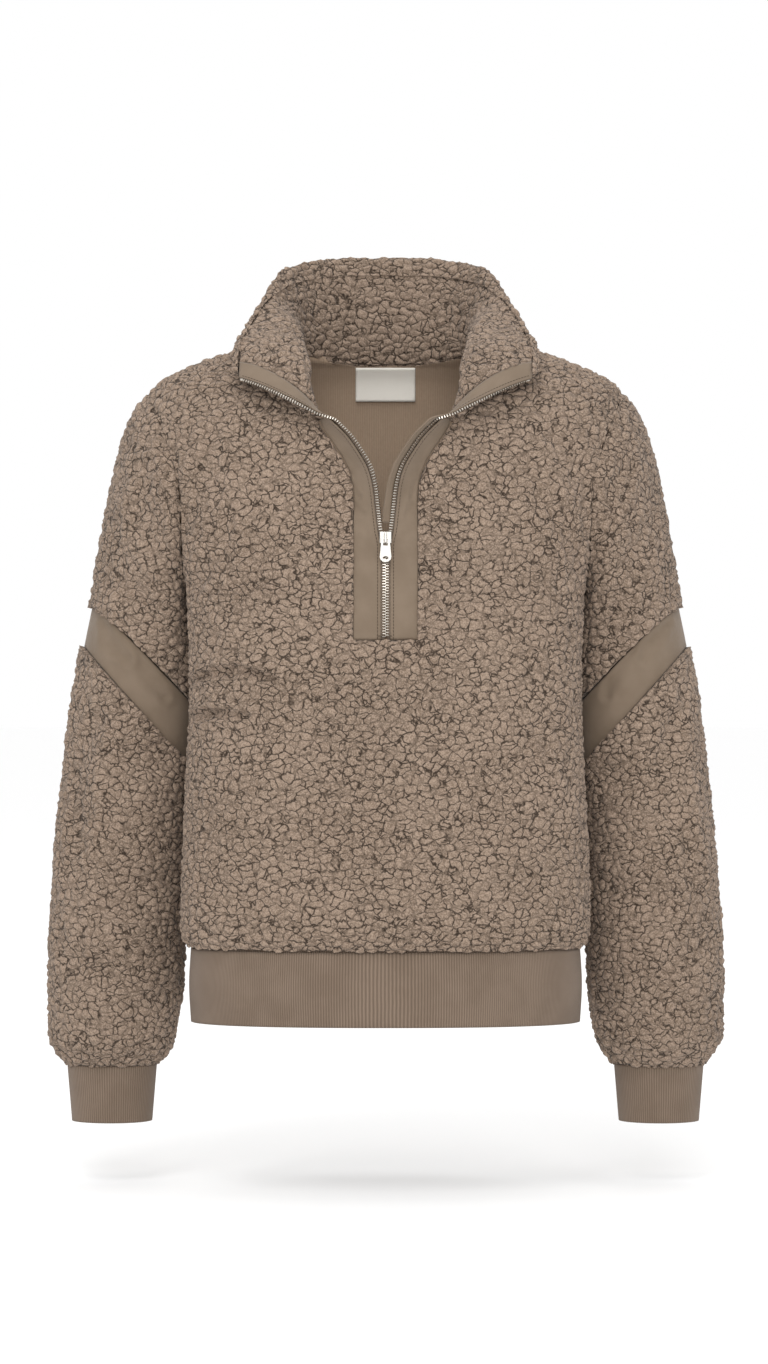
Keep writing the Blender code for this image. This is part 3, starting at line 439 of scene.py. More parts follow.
def through(xs, ys, x):
    """A smooth curve through the points that never overshoots them. ys may hold several columns."""
    xs = np.asarray(xs, float)
    ys = np.asarray(ys, float)
    if xs[0] > xs[-1]:
        xs = xs[::-1]
        ys = ys[::-1]
    x = min(max(x, xs[0]), xs[-1])
    step = np.diff(xs)
    slope = np.diff(ys, axis=0) / (step[:, None] if ys.ndim > 1 else step)
    same_way = slope[:-1] * slope[1:] > 0
    both = np.where(same_way, slope[:-1] + slope[1:], 1)
    mean = np.where(same_way, 2 * slope[:-1] * slope[1:] / both, 0)
    tangent = np.concatenate([slope[:1], mean, slope[-1:]])
    i = int(np.clip(np.searchsorted(xs, x) - 1, 0, len(step) - 1))
    leave, arrive = tangent[i] * step[i], tangent[i + 1] * step[i]
    return hermite(ys[i], ys[i + 1], leave, arrive, (x - xs[i]) / step[i])


def hermite(start, end, leave, arrive, t):
    """A cubic from start to end with the tangents leave and arrive."""
    rise = t * t * (3 - 2 * t)
    return start * (1 - rise) + end * rise + leave * t * (1 - t) ** 2 - arrive * t * t * (1 - t)


def table(rows, z):
    """A row of the table between those given, as a row of its own kind."""
    values = np.array(rows, float)
    return type(rows[0])(z, *through(values[:, 0], values[:, 1:], z))


def unit(v):
    v = np.asarray(v, float)
    return v / max(np.linalg.norm(v), 1e-9)


def mirrored(points):
    return np.asarray(points, float) * np.array([-1, 1, 1])


def body_point(angle, z):
    """The body's outer face at -X: angle 0 at the side, 90 degrees at mid-front, -90 at mid-back."""
    level = table(BODY, z)
    c = max(math.cos(angle), 0.0)
    s = math.sin(angle)
    if s >= 0:
        power, reach = 2 / level.front_power, level.front - level.widest
    else:
        power, reach = 2 / level.back_power, level.back - level.widest
    return np.array([-level.half_width * c**power, level.widest + reach * abs(s) ** power, z])


def angle_at_y(y, z):
    level = table(BODY, z)
    if y < level.widest:
        share = (y - level.widest) / (level.front - level.widest)
        return math.asin(min(share, 1) ** (level.front_power / 2))
    share = (y - level.widest) / (level.back - level.widest)
    return -math.asin(min(share, 1) ** (level.back_power / 2))


def angle_at_x(x, z, side):
    level = table(BODY, z)
    power = level.front_power if side > 0 else level.back_power
    return side * math.acos(min(abs(x) / level.half_width, 1) ** (power / 2))


def lift_at(x, z):
    """How far the opened front edge is turned forward; x is measured on the left half."""
    depth = float(table(LIFTS, z).depth)
    seam = float(table(FRONT_EDGE, z).x)
    if x <= seam or z > NECK_END:
        return depth * LIFT_AT_SEAM * math.exp(-max(seam - x, 0) / LIFT_FADE)
    share = (x - seam) / (float(table(ZIP_EDGE, z).x) - seam)
    return depth * (LIFT_AT_SEAM + (1 - LIFT_AT_SEAM) * share**1.3)


def front_at_angle(angle, z):
    p = body_point(angle, z)
    p[1] -= lift_at(p[0], z)
    return p


def front_at_x(x, z):
    return front_at_angle(angle_at_x(x, z, 1), z)


def normal_at(surface, u, v, du, dv, outward):
    n = unit(np.cross(surface(u + du, v) - surface(u - du, v), surface(u, v + dv) - surface(u, v - dv)))
    return n if n @ outward > 0 else -n


def armhole_place(turn):
    depth = ARMHOLE_FRONT if math.sin(turn) > 0 else ARMHOLE_BACK
    z = ARMHOLE_MIDDLE + (SHOULDER_POINT - ARMHOLE_MIDDLE) * math.cos(turn)
    return SIDE_SEAM_Y - depth * math.sin(turn), z


def armhole_point(turn):
    y, z = armhole_place(turn)
    return body_point(angle_at_y(y, z), z)


def body_rows():
    """Heights of the panels' rows: down the shoulder, the armhole and the side."""
    shoulder = [3.0, -2.5, -8.2, -16.0, -25.0, -35.0]
    hole = [armhole_place(turn)[1] for turn in ARMHOLE_TURNS]
    below = [-259, PLACKET_BOTTOM, *np.linspace(-302, -530, 10), -545, -555, HEM_SEAM]
    return shoulder + hole + below


def outer_angle(z, front):
    """The angle of the panel's outer boundary: shoulder ridge, armhole or side seam."""
    if z > SHOULDER_POINT:
        return RIDGE_GAP * front + angle_at_y(float(table(BODY, z).widest), z)
    y = SIDE_SEAM_Y
    if z > ARMPIT:
        share = math.sqrt(max(0.0, 1 - ((z - ARMHOLE_MIDDLE) / (SHOULDER_POINT - ARMHOLE_MIDDLE)) ** 2))
        y -= front * (ARMHOLE_FRONT if front > 0 else ARMHOLE_BACK) * share
    return angle_at_y(y, z)


def front_grid():
    rows = []
    for z in body_rows():
        first = outer_angle(z, 1)
        edge = float(table(FRONT_EDGE, z).x) if z > PLACKET_BOTTOM else -PLACKET_HALF
        last = angle_at_x(edge, z, 1)
        angles = [first + (last - first) * k / BODY_COLUMNS for k in range(BODY_COLUMNS + 1)]
        left = [front_at_angle(angle, z) for angle in angles]
        right = [mirrored(p) for p in left[::-1]]
        middle = []
        for x in np.linspace(-PLACKET_HALF, PLACKET_HALF, MIDDLE_COLUMNS + 1)[1:-1]:
            middle.append(np.array([x, body_point(angle_at_x(x, z, 1), z)[1], z]))
        rows.append(left + middle + right)
    return rows


SLOT = range(BODY_COLUMNS, BODY_COLUMNS + MIDDLE_COLUMNS)
SLOT_ROW = body_rows().index(PLACKET_BOTTOM)
front = cloth(
    "front",
    front_grid(),
    (SHERPA_CLOTH, BACKING),
    thickness=SHERPA,
    times=8,
    keep=lambda i, j: i >= SLOT_ROW or j not in SLOT,
    creases=FRONT_CREASES,
)
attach(front, "garment")
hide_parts("front_panel")

# Back panel. Sherpa cut in one piece, with a shallow neckline. It is sewn to the front along the
# shoulders and sides.
NeckPoint = namedtuple("NeckPoint", "x z")
BACK_NECK = [NeckPoint(85, 6), NeckPoint(80, 2), NeckPoint(58, -4), NeckPoint(30, -7), NeckPoint(0, -8)]
BACK_CREASES = [
    Crease(-182, -150, -120, -118, 11, 2.6, 1),
    Crease(182, -160, 126, -112, 11, 2.6, 1),
    Crease(-170, -330, -70, -352, 12, 3.0, 1),
    Crease(172, -362, 84, -338, 12, 2.8, 1),
    Crease(-150, -470, -30, -488, 14, 2.4, 1),
    Crease(156, -506, 60, -478, 13, 2.2, 1),
    Crease(-40, -180, -52, -320, 18, 1.8, 1),
    Crease(46, -196, 58, -330, 18, 1.6, 1),
]


def back_grid():
    rows = []
    for z in body_rows():
        x = 0.0
        if z > BACK_NECK[-1].z:
            x = -float(np.interp(z, [p.z for p in BACK_NECK[::-1]], [p.x for p in BACK_NECK[::-1]]))
        first = outer_angle(z, -1)
        last = angle_at_x(x, z, -1)
        angles = [first + (last - first) * k / BODY_COLUMNS for k in range(BODY_COLUMNS + 1)]
        left = [body_point(angle, z) for angle in angles]
        rows.append(left[:-1] + [mirrored(p) for p in left[::-1]])
    return rows


NECK_ROW = next(i for i, z in enumerate(body_rows()) if z < BACK_NECK[-1].z)
back = cloth(
    "back",
    back_grid(),
    (SHERPA_CLOTH, BACKING),
    thickness=SHERPA,
    times=8,
    keep=lambda i, j: i >= NECK_ROW or j not in (BODY_COLUMNS - 1, BODY_COLUMNS),
    flip=True,
    creases=BACK_CREASES,
)
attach(back, "garment")
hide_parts("back_panel")

# Sleeves. Each is a sherpa head, a smooth band let in on the slant, and a sherpa lower sleeve
# that closes into the cuff. They are tubes, joined along the inside.
SleeveLevel = namedtuple("SleeveLevel", "z outer inner mid_y half_depth")
SLEEVE = [SleeveLevel(*row) for row in (
    (-240, -280, -168, 16, 62),
    (-287, -290, -167, 20, 61),
    (-334, -298, -168, 24, 60),
    (-390, -305, -174, 25, 58),
    (-475, -314, -184, 25, 57),
    (-550, -319, -188, 25, 55),
    (-598, -321, -190, 25, 53),
    (-636, -320, -195, 25, 50),
    (-658, -318, -199, 25, 45),
    (-672, -312, -207, 25, 38),
    (-679, -304, -214, 25, 32),
)]
SLEEVE_END = SLEEVE[-1].z
BAND_TOP = (-247.0, 100.0, 1.35)
BAND_LOW = (-283.0, 118.0, 1.1)
BAND_INSET = 4.6
HEAD_START_TOP = (-104.0, 0.0, -60.0)
HEAD_START_FRONT = (-50.0, -16.0, -30.0)
HEAD_START_PIT = (0.0, 0.0, -56.0)
HEAD_START_BACK = (-56.0, 20.0, -34.0)
HEAD_END = 210.0
HEAD_END_PIT = 60.0
HEAD_TUCK = 2.6
BAND_CLOTH = 1.5
TWILL_PITCH = 0.9
SLEEVE_TURNS = [*ARMHOLE_TURNS, *-ARMHOLE_TURNS[-2:0:-1]]
UPPER_CREASES = [
    Crease(-222, -120, -196, -218, 11, 3.0, -1),
    Crease(-252, -170, -214, -262, 11, 2.4, -1),
    Crease(-214, -90, -186, -176, 11, 2.8, 1),
    Crease(-258, -190, -206, -250, 12, 2.8, 1),
]
BAND_CREASES = [
    Crease(-262, -262, -240, -296, 6, 1.6, -1),
    Crease(-226, -288, -206, -330, 6, 1.8, -1),
    Crease(-256, -262, -226, -300, 6, 1.6, 1),
    Crease(-222, -300, -196, -340, 6, 1.6, 1),
]
LOWER_CREASES = [
    Crease(-296, -330, -304, -500, 13, -3.0, -1),
    Crease(-270, -352, -286, -470, 11, 3.0, -1),
    Crease(-196, -380, -250, -420, 12, 2.8, -1),
    Crease(-200, -500, -262, -530, 13, 2.4, -1),
    Crease(-306, -560, -262, -590, 12, 2.6, -1),
    Crease(-204, -610, -240, -640, 10, 2.2, -1),
    Crease(-290, -350, -230, -400, 13, 3.2, 1),
    Crease(-196, -440, -270, -480, 13, 3.0, 1),
    Crease(-310, -540, -240, -570, 13, 3.0, 1),
    Crease(-200, -620, -270, -636, 11, 2.4, 1),
]


def section_point(turn, z):
    """The sleeve's outer face below the armpit: turn 0 outside, 90 degrees in front."""
    level = table(SLEEVE, z)
    middle = (level.outer + level.inner) / 2
    half = (level.inner - level.outer) / 2
    return np.array([middle - half * math.cos(turn), level.mid_y - level.half_depth * math.sin(turn), z])


def band_height(seam, turn):
    high, drop, bend = seam
    return high - drop * ((1 - math.cos(turn)) / 2) ** bend


def head_start(turn):
    up = max(math.cos(turn), 0) ** 2
    pit = max(-math.cos(turn), 0) ** 2
    side = math.sin(turn) ** 2
    middle = HEAD_START_FRONT if math.sin(turn) > 0 else HEAD_START_BACK
    return up * np.array(HEAD_START_TOP) + pit * np.array(HEAD_START_PIT) + side * np.array(middle)


def sleeve_point(turn, v):
    """The left sleeve's outer face: v 0 to 1 is its head, 1 to 2 the band, 2 to 3 the lower sleeve."""
    top = band_height(BAND_TOP, turn)
    low = band_height(BAND_LOW, turn)
    if v <= 1:
        end = section_point(turn, top)
        down = unit(section_point(turn, top - 6) - section_point(turn, top + 6))
        pull = HEAD_END_PIT + (HEAD_END - HEAD_END_PIT) * (1 + math.cos(turn)) / 2
        return hermite(armhole_point(turn), end, head_start(turn), down * pull, max(v, 0))
    if v <= 2:
        return section_point(turn, top + (low - top) * (v - 1))
    return section_point(turn, low + (SLEEVE_END - low) * (v - 2))


def sleeve_grid(start, end, rows, inset=0.0):
    grid = []
    for v in np.linspace(start, end, rows + 1):
        line = []
        for turn in SLEEVE_TURNS:
            p = sleeve_point(turn, v)
            level = table(SLEEVE, min(p[2], SLEEVE[0].z))
            middle = np.array([(level.outer + level.inner) / 2, level.mid_y, p[2]])
            line.append(p - unit(p - middle) * inset)
        grid.append(line)
    grid = np.array(grid)
    if start:
        return grid
    under = np.array([unit(a - b) * HEAD_TUCK for a, b in zip(grid[0], grid[1])])
    sink = np.array([unit(p - grid[0].mean(axis=0)) * HEAD_TUCK for p in grid[0]])
    return np.concatenate([[grid[0] + under - sink], grid])


def both_sides(stem, node, grid, finishes, thickness, times, slot, flat, area=None, creases=(), **how):
    """The left piece, and its mirror image at the right."""
    for side, sign in (("left", 1), ("right", -1)):
        points = grid if sign > 0 else mirrored(grid)
        bent = [c._replace(x0=c.x0 * sign, x1=c.x1 * sign) for c in creases]
        kinds = {**how, "flip": how.get("flip", False) != (sign < 0)}
        piece = cloth(f"{stem}_{side}", points, finishes, thickness, times, creases=bent, **kinds)
        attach(piece, "garment")
        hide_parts(f"{node}_{side}")


def twill_material():
    """Smooth woven cloth with a fine slanting line and a slight sheen."""
    material, tree, shader = new_material("smooth twill", 0.72, sheen=0.12)
    line = tree.vector("DOT_PRODUCT", tree.cut(), (1.0, 1.0, 0.0), output="Value").waves(TWILL_PITCH)
    cloud = tree.noise(tree.here(), 24, 3.0)
    tone = tree.mix(cloud.smooth(0.3, 0.7), (0.170, 0.126, 0.088), (0.196, 0.147, 0.105))
    tone = tree.mix(line * 0.25, tone, (0.110, 0.078, 0.052))
    feed(tree, shader, tone, line * 0.12 + cloud, 1.2, 0.5)
    return material


TWILL_CLOTH = twill_material()
both_sides(
    "upper_sleeve",
    "sleeve_upper",
    sleeve_grid(0, 0.998, 9),
    (SHERPA_CLOTH, BACKING),
    thickness=SHERPA,
    times=8,
    slot="sherpa",
    flat=(0.42, 0.27),
    area=0.063,
    wrap=True,
    creases=UPPER_CREASES,
)
both_sides(
    "slanted_band",
    "sleeve_band",
    sleeve_grid(1, 2, 3, BAND_INSET),
    (TWILL_CLOTH,),
    thickness=BAND_CLOTH,
    times=8,
    slot="twill",
    flat=(0.36, 0.05),
    wrap=True,
    relief=False,
    creases=BAND_CREASES,
)
both_sides(
    "lower_sleeve",
    "sleeve_lower",
    sleeve_grid(2, 3, 18),
    (SHERPA_CLOTH, BACKING),
    thickness=SHERPA,
    times=8,
    slot="sherpa",
    flat=(0.38, 0.4),
    area=0.122,
    wrap=True,
    creases=LOWER_CREASES,
)

# Hem and cuffs. Tubes of fine rib knit, folded double at the lower edge and stretched a little where
# they are sewn on to the body and the sleeves.
RIB = 3.0
RIB_PITCH = 1.9
HEM_CREASES = [
    Crease(-120, -566, -112, -622, 10, 0.7, -1),
    Crease(-48, -566, -52, -618, 12, 0.6, -1),
    Crease(70, -566, 64, -622, 12, 0.6, -1),
    Crease(134, -566, 128, -614, 10, 0.7, -1),
    Crease(-100, -566, -92, -622, 12, 0.7, 1),
    Crease(60, -566, 70, -622, 12, 0.7, 1),
]
HEM_BOTTOM = -630.0
HEM_STEP_IN = 3.0
HEM_BULGE = 1.5
HEM_GAP = 0.3
HEM_PINCH = 0.3
HEM_COLUMNS = 56
CUFF_COLUMNS = 28
RIB_ROWS = 6
CUFF_TOP = SLEEVE_END + 1.2
CUFF_BOTTOM = -732.0
CUFF_STEP_IN = 2.5
CUFF_TAPER = 4.5


def rib_material():
    material, tree, shader = new_material("fine rib knit", 0.85, sheen=0.12)
    place = tree.here()
    rib = tree.axis(tree.cut(), "X").waves(RIB_PITCH, tree.noise(place, 14) * 1.5)
    cloud = tree.noise(place, 30, 3.0)
    tone = tree.mix(cloud.smooth(0.3, 0.7), (0.180, 0.131, 0.095), (0.214, 0.158, 0.117))
    tone = tree.mix(rib * 0.65, tone, (0.078, 0.054, 0.037))
    feed(tree, shader, tone, 1 - rib, 0.6, 0.6)
    return material


RIB_KNIT = rib_material()


def hem_grid():
    level = table(BODY, HEM_SEAM)
    grid = []
    for share in np.linspace(0, 1, RIB_ROWS):
        z = HEM_SEAM - HEM_GAP + (HEM_BOTTOM - HEM_SEAM) * share
        swell = math.sin(math.pi * share)
        inset = HEM_STEP_IN - HEM_BULGE * swell - HEM_PINCH * swell**8
        line = []
        for turn in np.linspace(0, 2 * math.pi, HEM_COLUMNS, endpoint=False):
            ahead = math.sin(turn) > 0
            power = 2 / (level.front_power if ahead else level.back_power)
            reach = (level.widest - level.front if ahead else level.back - level.widest) - inset
            x = math.copysign((level.half_width - inset) * abs(math.cos(turn)) ** power, -math.cos(turn))
            y = math.copysign(reach * abs(math.sin(turn)) ** power, math.sin(turn))
            line.append([x, level.widest - y, z])
        grid.append(line)
    return grid


hem = cloth(
    "hem_rib", hem_grid(), (RIB_KNIT,), RIB, times=5, wrap=True, relief=False, creases=HEM_CREASES
)
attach(hem, "garment")
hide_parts("hem_band")


def cuff_grid():
    level = SLEEVE[-1]
    middle = (level.outer + level.inner) / 2
    grid = []
    for share in np.linspace(0, 1, RIB_ROWS):
        inset = CUFF_STEP_IN + CUFF_TAPER * share
        half = (level.inner - level.outer) / 2 - inset
        deep = level.half_depth - inset
        z = CUFF_TOP + (CUFF_BOTTOM - CUFF_TOP) * share
        turns = np.linspace(0, 2 * math.pi, CUFF_COLUMNS, endpoint=False)
        grid.append([[middle - half * math.cos(t), level.mid_y - deep * math.sin(t), z] for t in turns])
    return np.array(grid)


both_sides(
    "rib_cuff",
    "cuff",
    cuff_grid(),
    (RIB_KNIT,),
    thickness=RIB,
    times=5,
    slot="rib",
    flat=(0.23, 0.052),
    wrap=True,
    relief=False,
)

# Collar. Two layers of sherpa sewn to the neckline. The outer one rolls over the top edge and meets
# the inner one there. The opened front ends turn outwards and lie over the shoulders as leaves.
Collar = namedtuple("Collar", "run lean_x lean_y lean_z edge_x edge_y edge_z fall_x fall_y fall_z")
COLLAR = [Collar(*row) for row in (
    (0, -80, -6, 44, -140, -94, -41, -84, 40, 20),
    (20, -44, -44, 66, -141, -82, -27, -96, 30, -4),
    (45, -2, -52, 84, -140, -62, -9, -96, 20, -18),
    (75, 12, -34, 92, -135, -42, 4, -86, 14, 0),
    (105, 16, -10, 88, -126, -18, 25, -70, 10, 40),
    (145, 10, 0, 84, -113, 6, 51, -50, 8, 76),
    (185, 0, 2, 92, -98, 32, 75, -28, 10, 90),
    (235, -2, 6, 96, -69, 67, 88, -14, 14, 94),
    (275, -1, 8, 97, -35, 83, 93, -6, 16, 96),
    (310, 0, 8, 98, 0, 86, 94, 0, 16, 96),
)]
COLLAR_HALF = 5.0
COLLAR_LAYER = 4.6
INNER_LAYER = COLLAR_LAYER - 0.6
ROLL_BAND = 0.2
ROLL_NARROW = 0.08
ROLL_START = 120
ROLL_LENGTH = 80
UNDER_ROLL = 0.02
TUCK = 1.6
TURN_END = -84.0
LEAF_RUN = 20
SHOULDER_RUN = 145
LAST_RUN = COLLAR[-1].run
RUN_STEP = 2.0
H_STEP = 0.03
WALL_HALF = 3.5
SEAM_REACH = 0.14


def neck_place(run):
    """x, z and side of the neckline at this distance from the collar's end."""
    if run <= LEAF_RUN:
        zip_x, seam_x = (float(table(edge, NECK_END).x) for edge in (ZIP_EDGE, FRONT_EDGE))
        return float(hermite(zip_x, seam_x, -8, -8, run / LEAF_RUN)), NECK_END, 1
    if run <= SHOULDER_RUN:
        z = through([LEAF_RUN, 45, 75, 105, SHOULDER_RUN], [NECK_END, -56, -34, -14, NECK_TOP - 2], run)
        return float(table(FRONT_EDGE, z).x), float(z), 1
    x = through([SHOULDER_RUN, 185, 235, 275, LAST_RUN], [-85, -73, -50, -25, 0], run)
    z = through([p.x for p in BACK_NECK], [p.z for p in BACK_NECK], -x)
    return float(x), float(z), -1


def back_wall(x, z):
    """The back's outer face, and its outward normal."""
    angle = angle_at_x(x, z, -1)
    p = body_point(angle, z)
    outward = p - np.array([0, 0, z - 20])
    return p, normal_at(body_point, angle, min(z, NECK_TOP - 1.5), 0.02, 1.5, outward)


def wall_middle(x, z, side):
    """The middle of the sherpa wall, and its outward normal."""
    if side > 0:
        p, n = front_at_x(x, z), normal_at(front_at_x, x, z, 1.0, 1.0, np.array([-0.2, -1.0, 0.2]))
    else:
        p, n = back_wall(x, z)
    return p - n * WALL_HALF, n


collar_bases = {}


def collar_base(run):
    if run not in collar_bases:
        collar_bases[run] = wall_middle(*neck_place(run))
    return collar_bases[run]


def collar_point(run, h):
    """The middle of the collar: h 0 at the neck seam, 1 at its free edge."""
    rows = np.array(COLLAR, float)
    row = Collar(run, *through(rows[:, 0], rows[:, 1:], run))
    edge = np.array([row.edge_x, row.edge_y, row.edge_z])
    leave = np.array([row.lean_x, row.lean_y, row.lean_z])
    arrive = np.array([row.fall_x, row.fall_y, row.fall_z])
    return hermite(collar_base(run)[0] + unit(leave), edge, leave, arrive, h)


def collar_normal(run, h):
    """Outwards, away from the neck; at the seam it is the panel's own."""
    r = min(max(run, RUN_STEP), LAST_RUN - RUN_STEP)
    k = min(max(h, H_STEP), 1 - H_STEP)
    round_neck = collar_point(r + RUN_STEP, k) - collar_point(r - RUN_STEP, k)
    up = collar_point(r, k + H_STEP) - collar_point(r, k - H_STEP)
    n = unit(np.cross(round_neck, up))
    if run > LAST_RUN - 10:
        n = unit(np.array([0, n[1], n[2]]))
    if n @ np.array([0, 1, -1]) < 0:
        n = -n
    return unit(n * (1 - near_seam(h)) + collar_base(run)[1] * near_seam(h))


def near_seam(h):
    """1 at the neck seam, 0 a little above it."""
    return max(0.0, 1 - h / SEAM_REACH)


def collar_half(h):
    return COLLAR_HALF + (WALL_HALF - COLLAR_HALF) * near_seam(h)


def roll_share(run):
    t = min(max((run - ROLL_START) / ROLL_LENGTH, 0), 1)
    return ROLL_NARROW + (ROLL_BAND - ROLL_NARROW) * t * t * (3 - 2 * t)


def collar_sheet(runs, rows):
    """The collar's grid. A row gives, for each run, the height and how far out from the middle."""
    grid = []
    for row in rows:
        left = []
        for run in runs:
            h, offset = row(run)
            left.append(collar_point(run, h) + collar_normal(run, h) * offset)
        left = np.array(left)
        grid.append(np.concatenate([left[:-1], mirrored(left)[::-1]]))
    return grid


def outside_row(share):
    def row(run):
        h = share * (1 - roll_share(run))
        return h, collar_half(h)

    return row


def roll_row(turn):
    def row(run):
        return 1 - roll_share(run) * (turn - 1) ** 2, COLLAR_HALF * math.cos(math.pi / 2 * turn)

    return row


def inside_row(share):
    def row(run):
        top = 1 - roll_share(run)
        return share * (top + UNDER_ROLL), TUCK * share**8 - collar_half(share * top)

    return row


COLLAR_RUNS = [20, 35, 52, 70, 90, 110, 132, 155, 180, 206, 232, 258, 284, 310]
COLLAR_SHARES = (0, 0.08, 0.2, 0.36, 0.52, 0.68, 0.84, 1)
ROLL_TURNS = (0.3, 0.65, 1, 1.35, 1.7, 2)
outside_rows = [outside_row(share) for share in COLLAR_SHARES] + [roll_row(turn) for turn in ROLL_TURNS]
collar_outside = cloth(
    "collar_outside",
    collar_sheet([6, 13, *COLLAR_RUNS], outside_rows),
    (SHERPA_CLOTH,),
    thickness=COLLAR_LAYER,
    times=7,
)
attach(collar_outside, "garment")
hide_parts("collar_outer")
collar_inside = cloth(
    "collar_inside",
    collar_sheet(COLLAR_RUNS, [inside_row(share) for share in COLLAR_SHARES]),
    (SHERPA_CLOTH,),
    thickness=INNER_LAYER,
    times=7,
    flip=True,
)
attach(collar_inside, "garment")
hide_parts("collar_inner")

# Placket, facings and tapes. Strips of twill and tape sewn one behind the other to the edges of the
# opening. The right facing reaches past the teeth as a wind guard.
TWILL = 1.3
TAPE = 0.8
FACING = 1.2
LAYER_GAP = 0.7
PLACKET_OUT = 0.9
TAPE_OUT = 0.5 - TWILL - LAYER_GAP
FACING_OUT = TAPE_OUT - TAPE - LAYER_GAP
GUARD = 8.0
PLACKET_STEPS = (3.4, 4.2, 7, 12, 18, 24, 28.2)
TAPE_STEPS = (0, 2, 5, 9, 14)
FACING_STEPS = (1.6, 2.4, 5, 9, 14, 20)
THREAD_PITCH = 1.1
SLIDER_TOP = -181.5
PLACKET_CREASES = [
    Crease(-40, -132, -24, -150, 3.5, 0.9, -1),
    Crease(-38, -150, -20, -166, 3.5, 0.8, -1),
    Crease(-33, -172, -16, -184, 3.2, 0.6, -1),
]


def edge_place(station, w):
    """The wall's middle and outward normal at w from the zip's edge."""
    kind, at = station
    if kind == "collar":
        return collar_point(max(w, 0), at), collar_normal(max(w, 1), at)
    if kind == "between":
        below, n_below = edge_place(("front", TURN_END), w)
        above, n_above = edge_place(("collar", at), w)
        return (below + above) / 2, unit(n_below + n_above)
    edge = float(table(ZIP_EDGE, at).x)
    x = edge + (float(table(FRONT_EDGE, at).x) - edge) * max(w, 0) / (PLACKET_HALF - 1)
    if at <= TURN_END:
        return wall_middle(x, at, 1)
    _, n = wall_middle(x + float(table(ZIP_EDGE, TURN_END).x) - edge, TURN_END, 1)
    return front_at_x(x, at) - n * WALL_HALF, n


def edge_strip(stations, ws, out):
    """A strip along the stations, at those distances from the zip's edge; below 0 is past it."""
    grid = []
    for station in stations:
        line = []
        for w in ws:
            p, n = edge_place(station, w)
            if w < 0:
                p = p + unit(p - edge_place(station, 3)[0]) * -w
            line.append(p + n * out)
        grid.append(line)
    return np.array(grid)


heights = [*np.arange(-279, -202, 11), *np.linspace(-202, TURN_END, 19)]
along_front = [("front", float(z)) for z in heights]
leaf_heights = (0.12, 0.17, 0.23, 0.3, 0.4, 0.5, 0.6, 0.7, 0.8, 0.91)
along_leaf = [("between", leaf_heights[0])] + [("collar", h) for h in leaf_heights]
opened = [station for station in along_front if station[1] > SLIDER_TOP + 5]
both_sides(
    "twill_placket",
    "placket",
    edge_strip([*along_front, ("front", NECK_END)], PLACKET_STEPS, PLACKET_OUT),
    (TWILL_CLOTH,),
    thickness=TWILL,
    times=4,
    slot="twill",
    flat=(0.025, 0.21),
    relief=False,
    creases=PLACKET_CREASES,
)


def tape_material():
    material, tree, shader = new_material("zip tape", 0.8)
    thread = tree.axis(tree.cut(), "Y").waves(THREAD_PITCH)
    tone = tree.mix(thread, (0.150, 0.110, 0.082), (0.215, 0.165, 0.125))
    feed(tree, shader, tone, thread, 0.3, 0.6)
    return material


TAPE_CLOTH = tape_material()
both_sides(
    "tape",
    "zip_tape",
    edge_strip(along_front + along_leaf, TAPE_STEPS, TAPE_OUT),
    (TAPE_CLOTH,),
    thickness=TAPE,
    times=3,
    slot="zip_tape",
    flat=(0.014, 0.31),
    relief=False,
)
left_strip = edge_strip(opened + along_leaf, FACING_STEPS, FACING_OUT)
guard = edge_strip(opened, (-GUARD, -GUARD / 2, *FACING_STEPS), FACING_OUT)
guard_leaf = edge_strip(along_leaf, (0, 0.8, *FACING_STEPS), FACING_OUT)
right_strip = mirrored(np.concatenate([guard, guard_leaf]))
for side, grid in (("left", left_strip), ("right", right_strip)):
    name, flip = f"facing_strip_{side}", side == "right"
    facing = cloth(name, grid, (TWILL_CLOTH,), FACING, times=3, flip=flip, relief=False)
    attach(facing, "garment")
    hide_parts(f"facing_{side}")

# Zip teeth. Small brass clasps, plated silver and clamped on both tapes' edges, with a stop at the
# top of each row. Where the zip is closed the two rows mesh. The slider and its tab are polished.
TOOTH_PITCH = 2.5
CHAIN_FOOT = 3.0
TOOTH = (3.4, 0.9, 2.2)
TOP_STOP = (3.2, 3.0, 2.6)
CLASP_BACK = -0.3
CLASP_TAPER = 1.25
EDGE_ROUNDING = 0.22


def metal_material(name, roughness, dull, bright):
    material, tree, shader = new_material(name, roughness, metallic=1.0)
    wear = tree.noise(tree.here(), 1.6, 3.0)
    feed(tree, shader, tree.mix(wear, dull, bright), wear, 0.12, 0.3)
    return material


SILVER = metal_material("silver plating", 0.26, (0.40, 0.36, 0.31), (0.66, 0.62, 0.56))
POLISHED = metal_material("polished slider", 0.4, (0.46, 0.44, 0.41), (0.56, 0.54, 0.50))


def seam_line(stations, w, out):
    """Points, outward and inward directions at w from the left tape's edge, bottom first."""
    places = []
    for station in stations:
        p, n = edge_place(station, w)
        q, _ = edge_place(station, w + 4)
        places.append([p + n * out, n, unit(p - q)])
    return finer(np.array(places).transpose(1, 0, 2), 8, False).transpose(1, 0, 2)


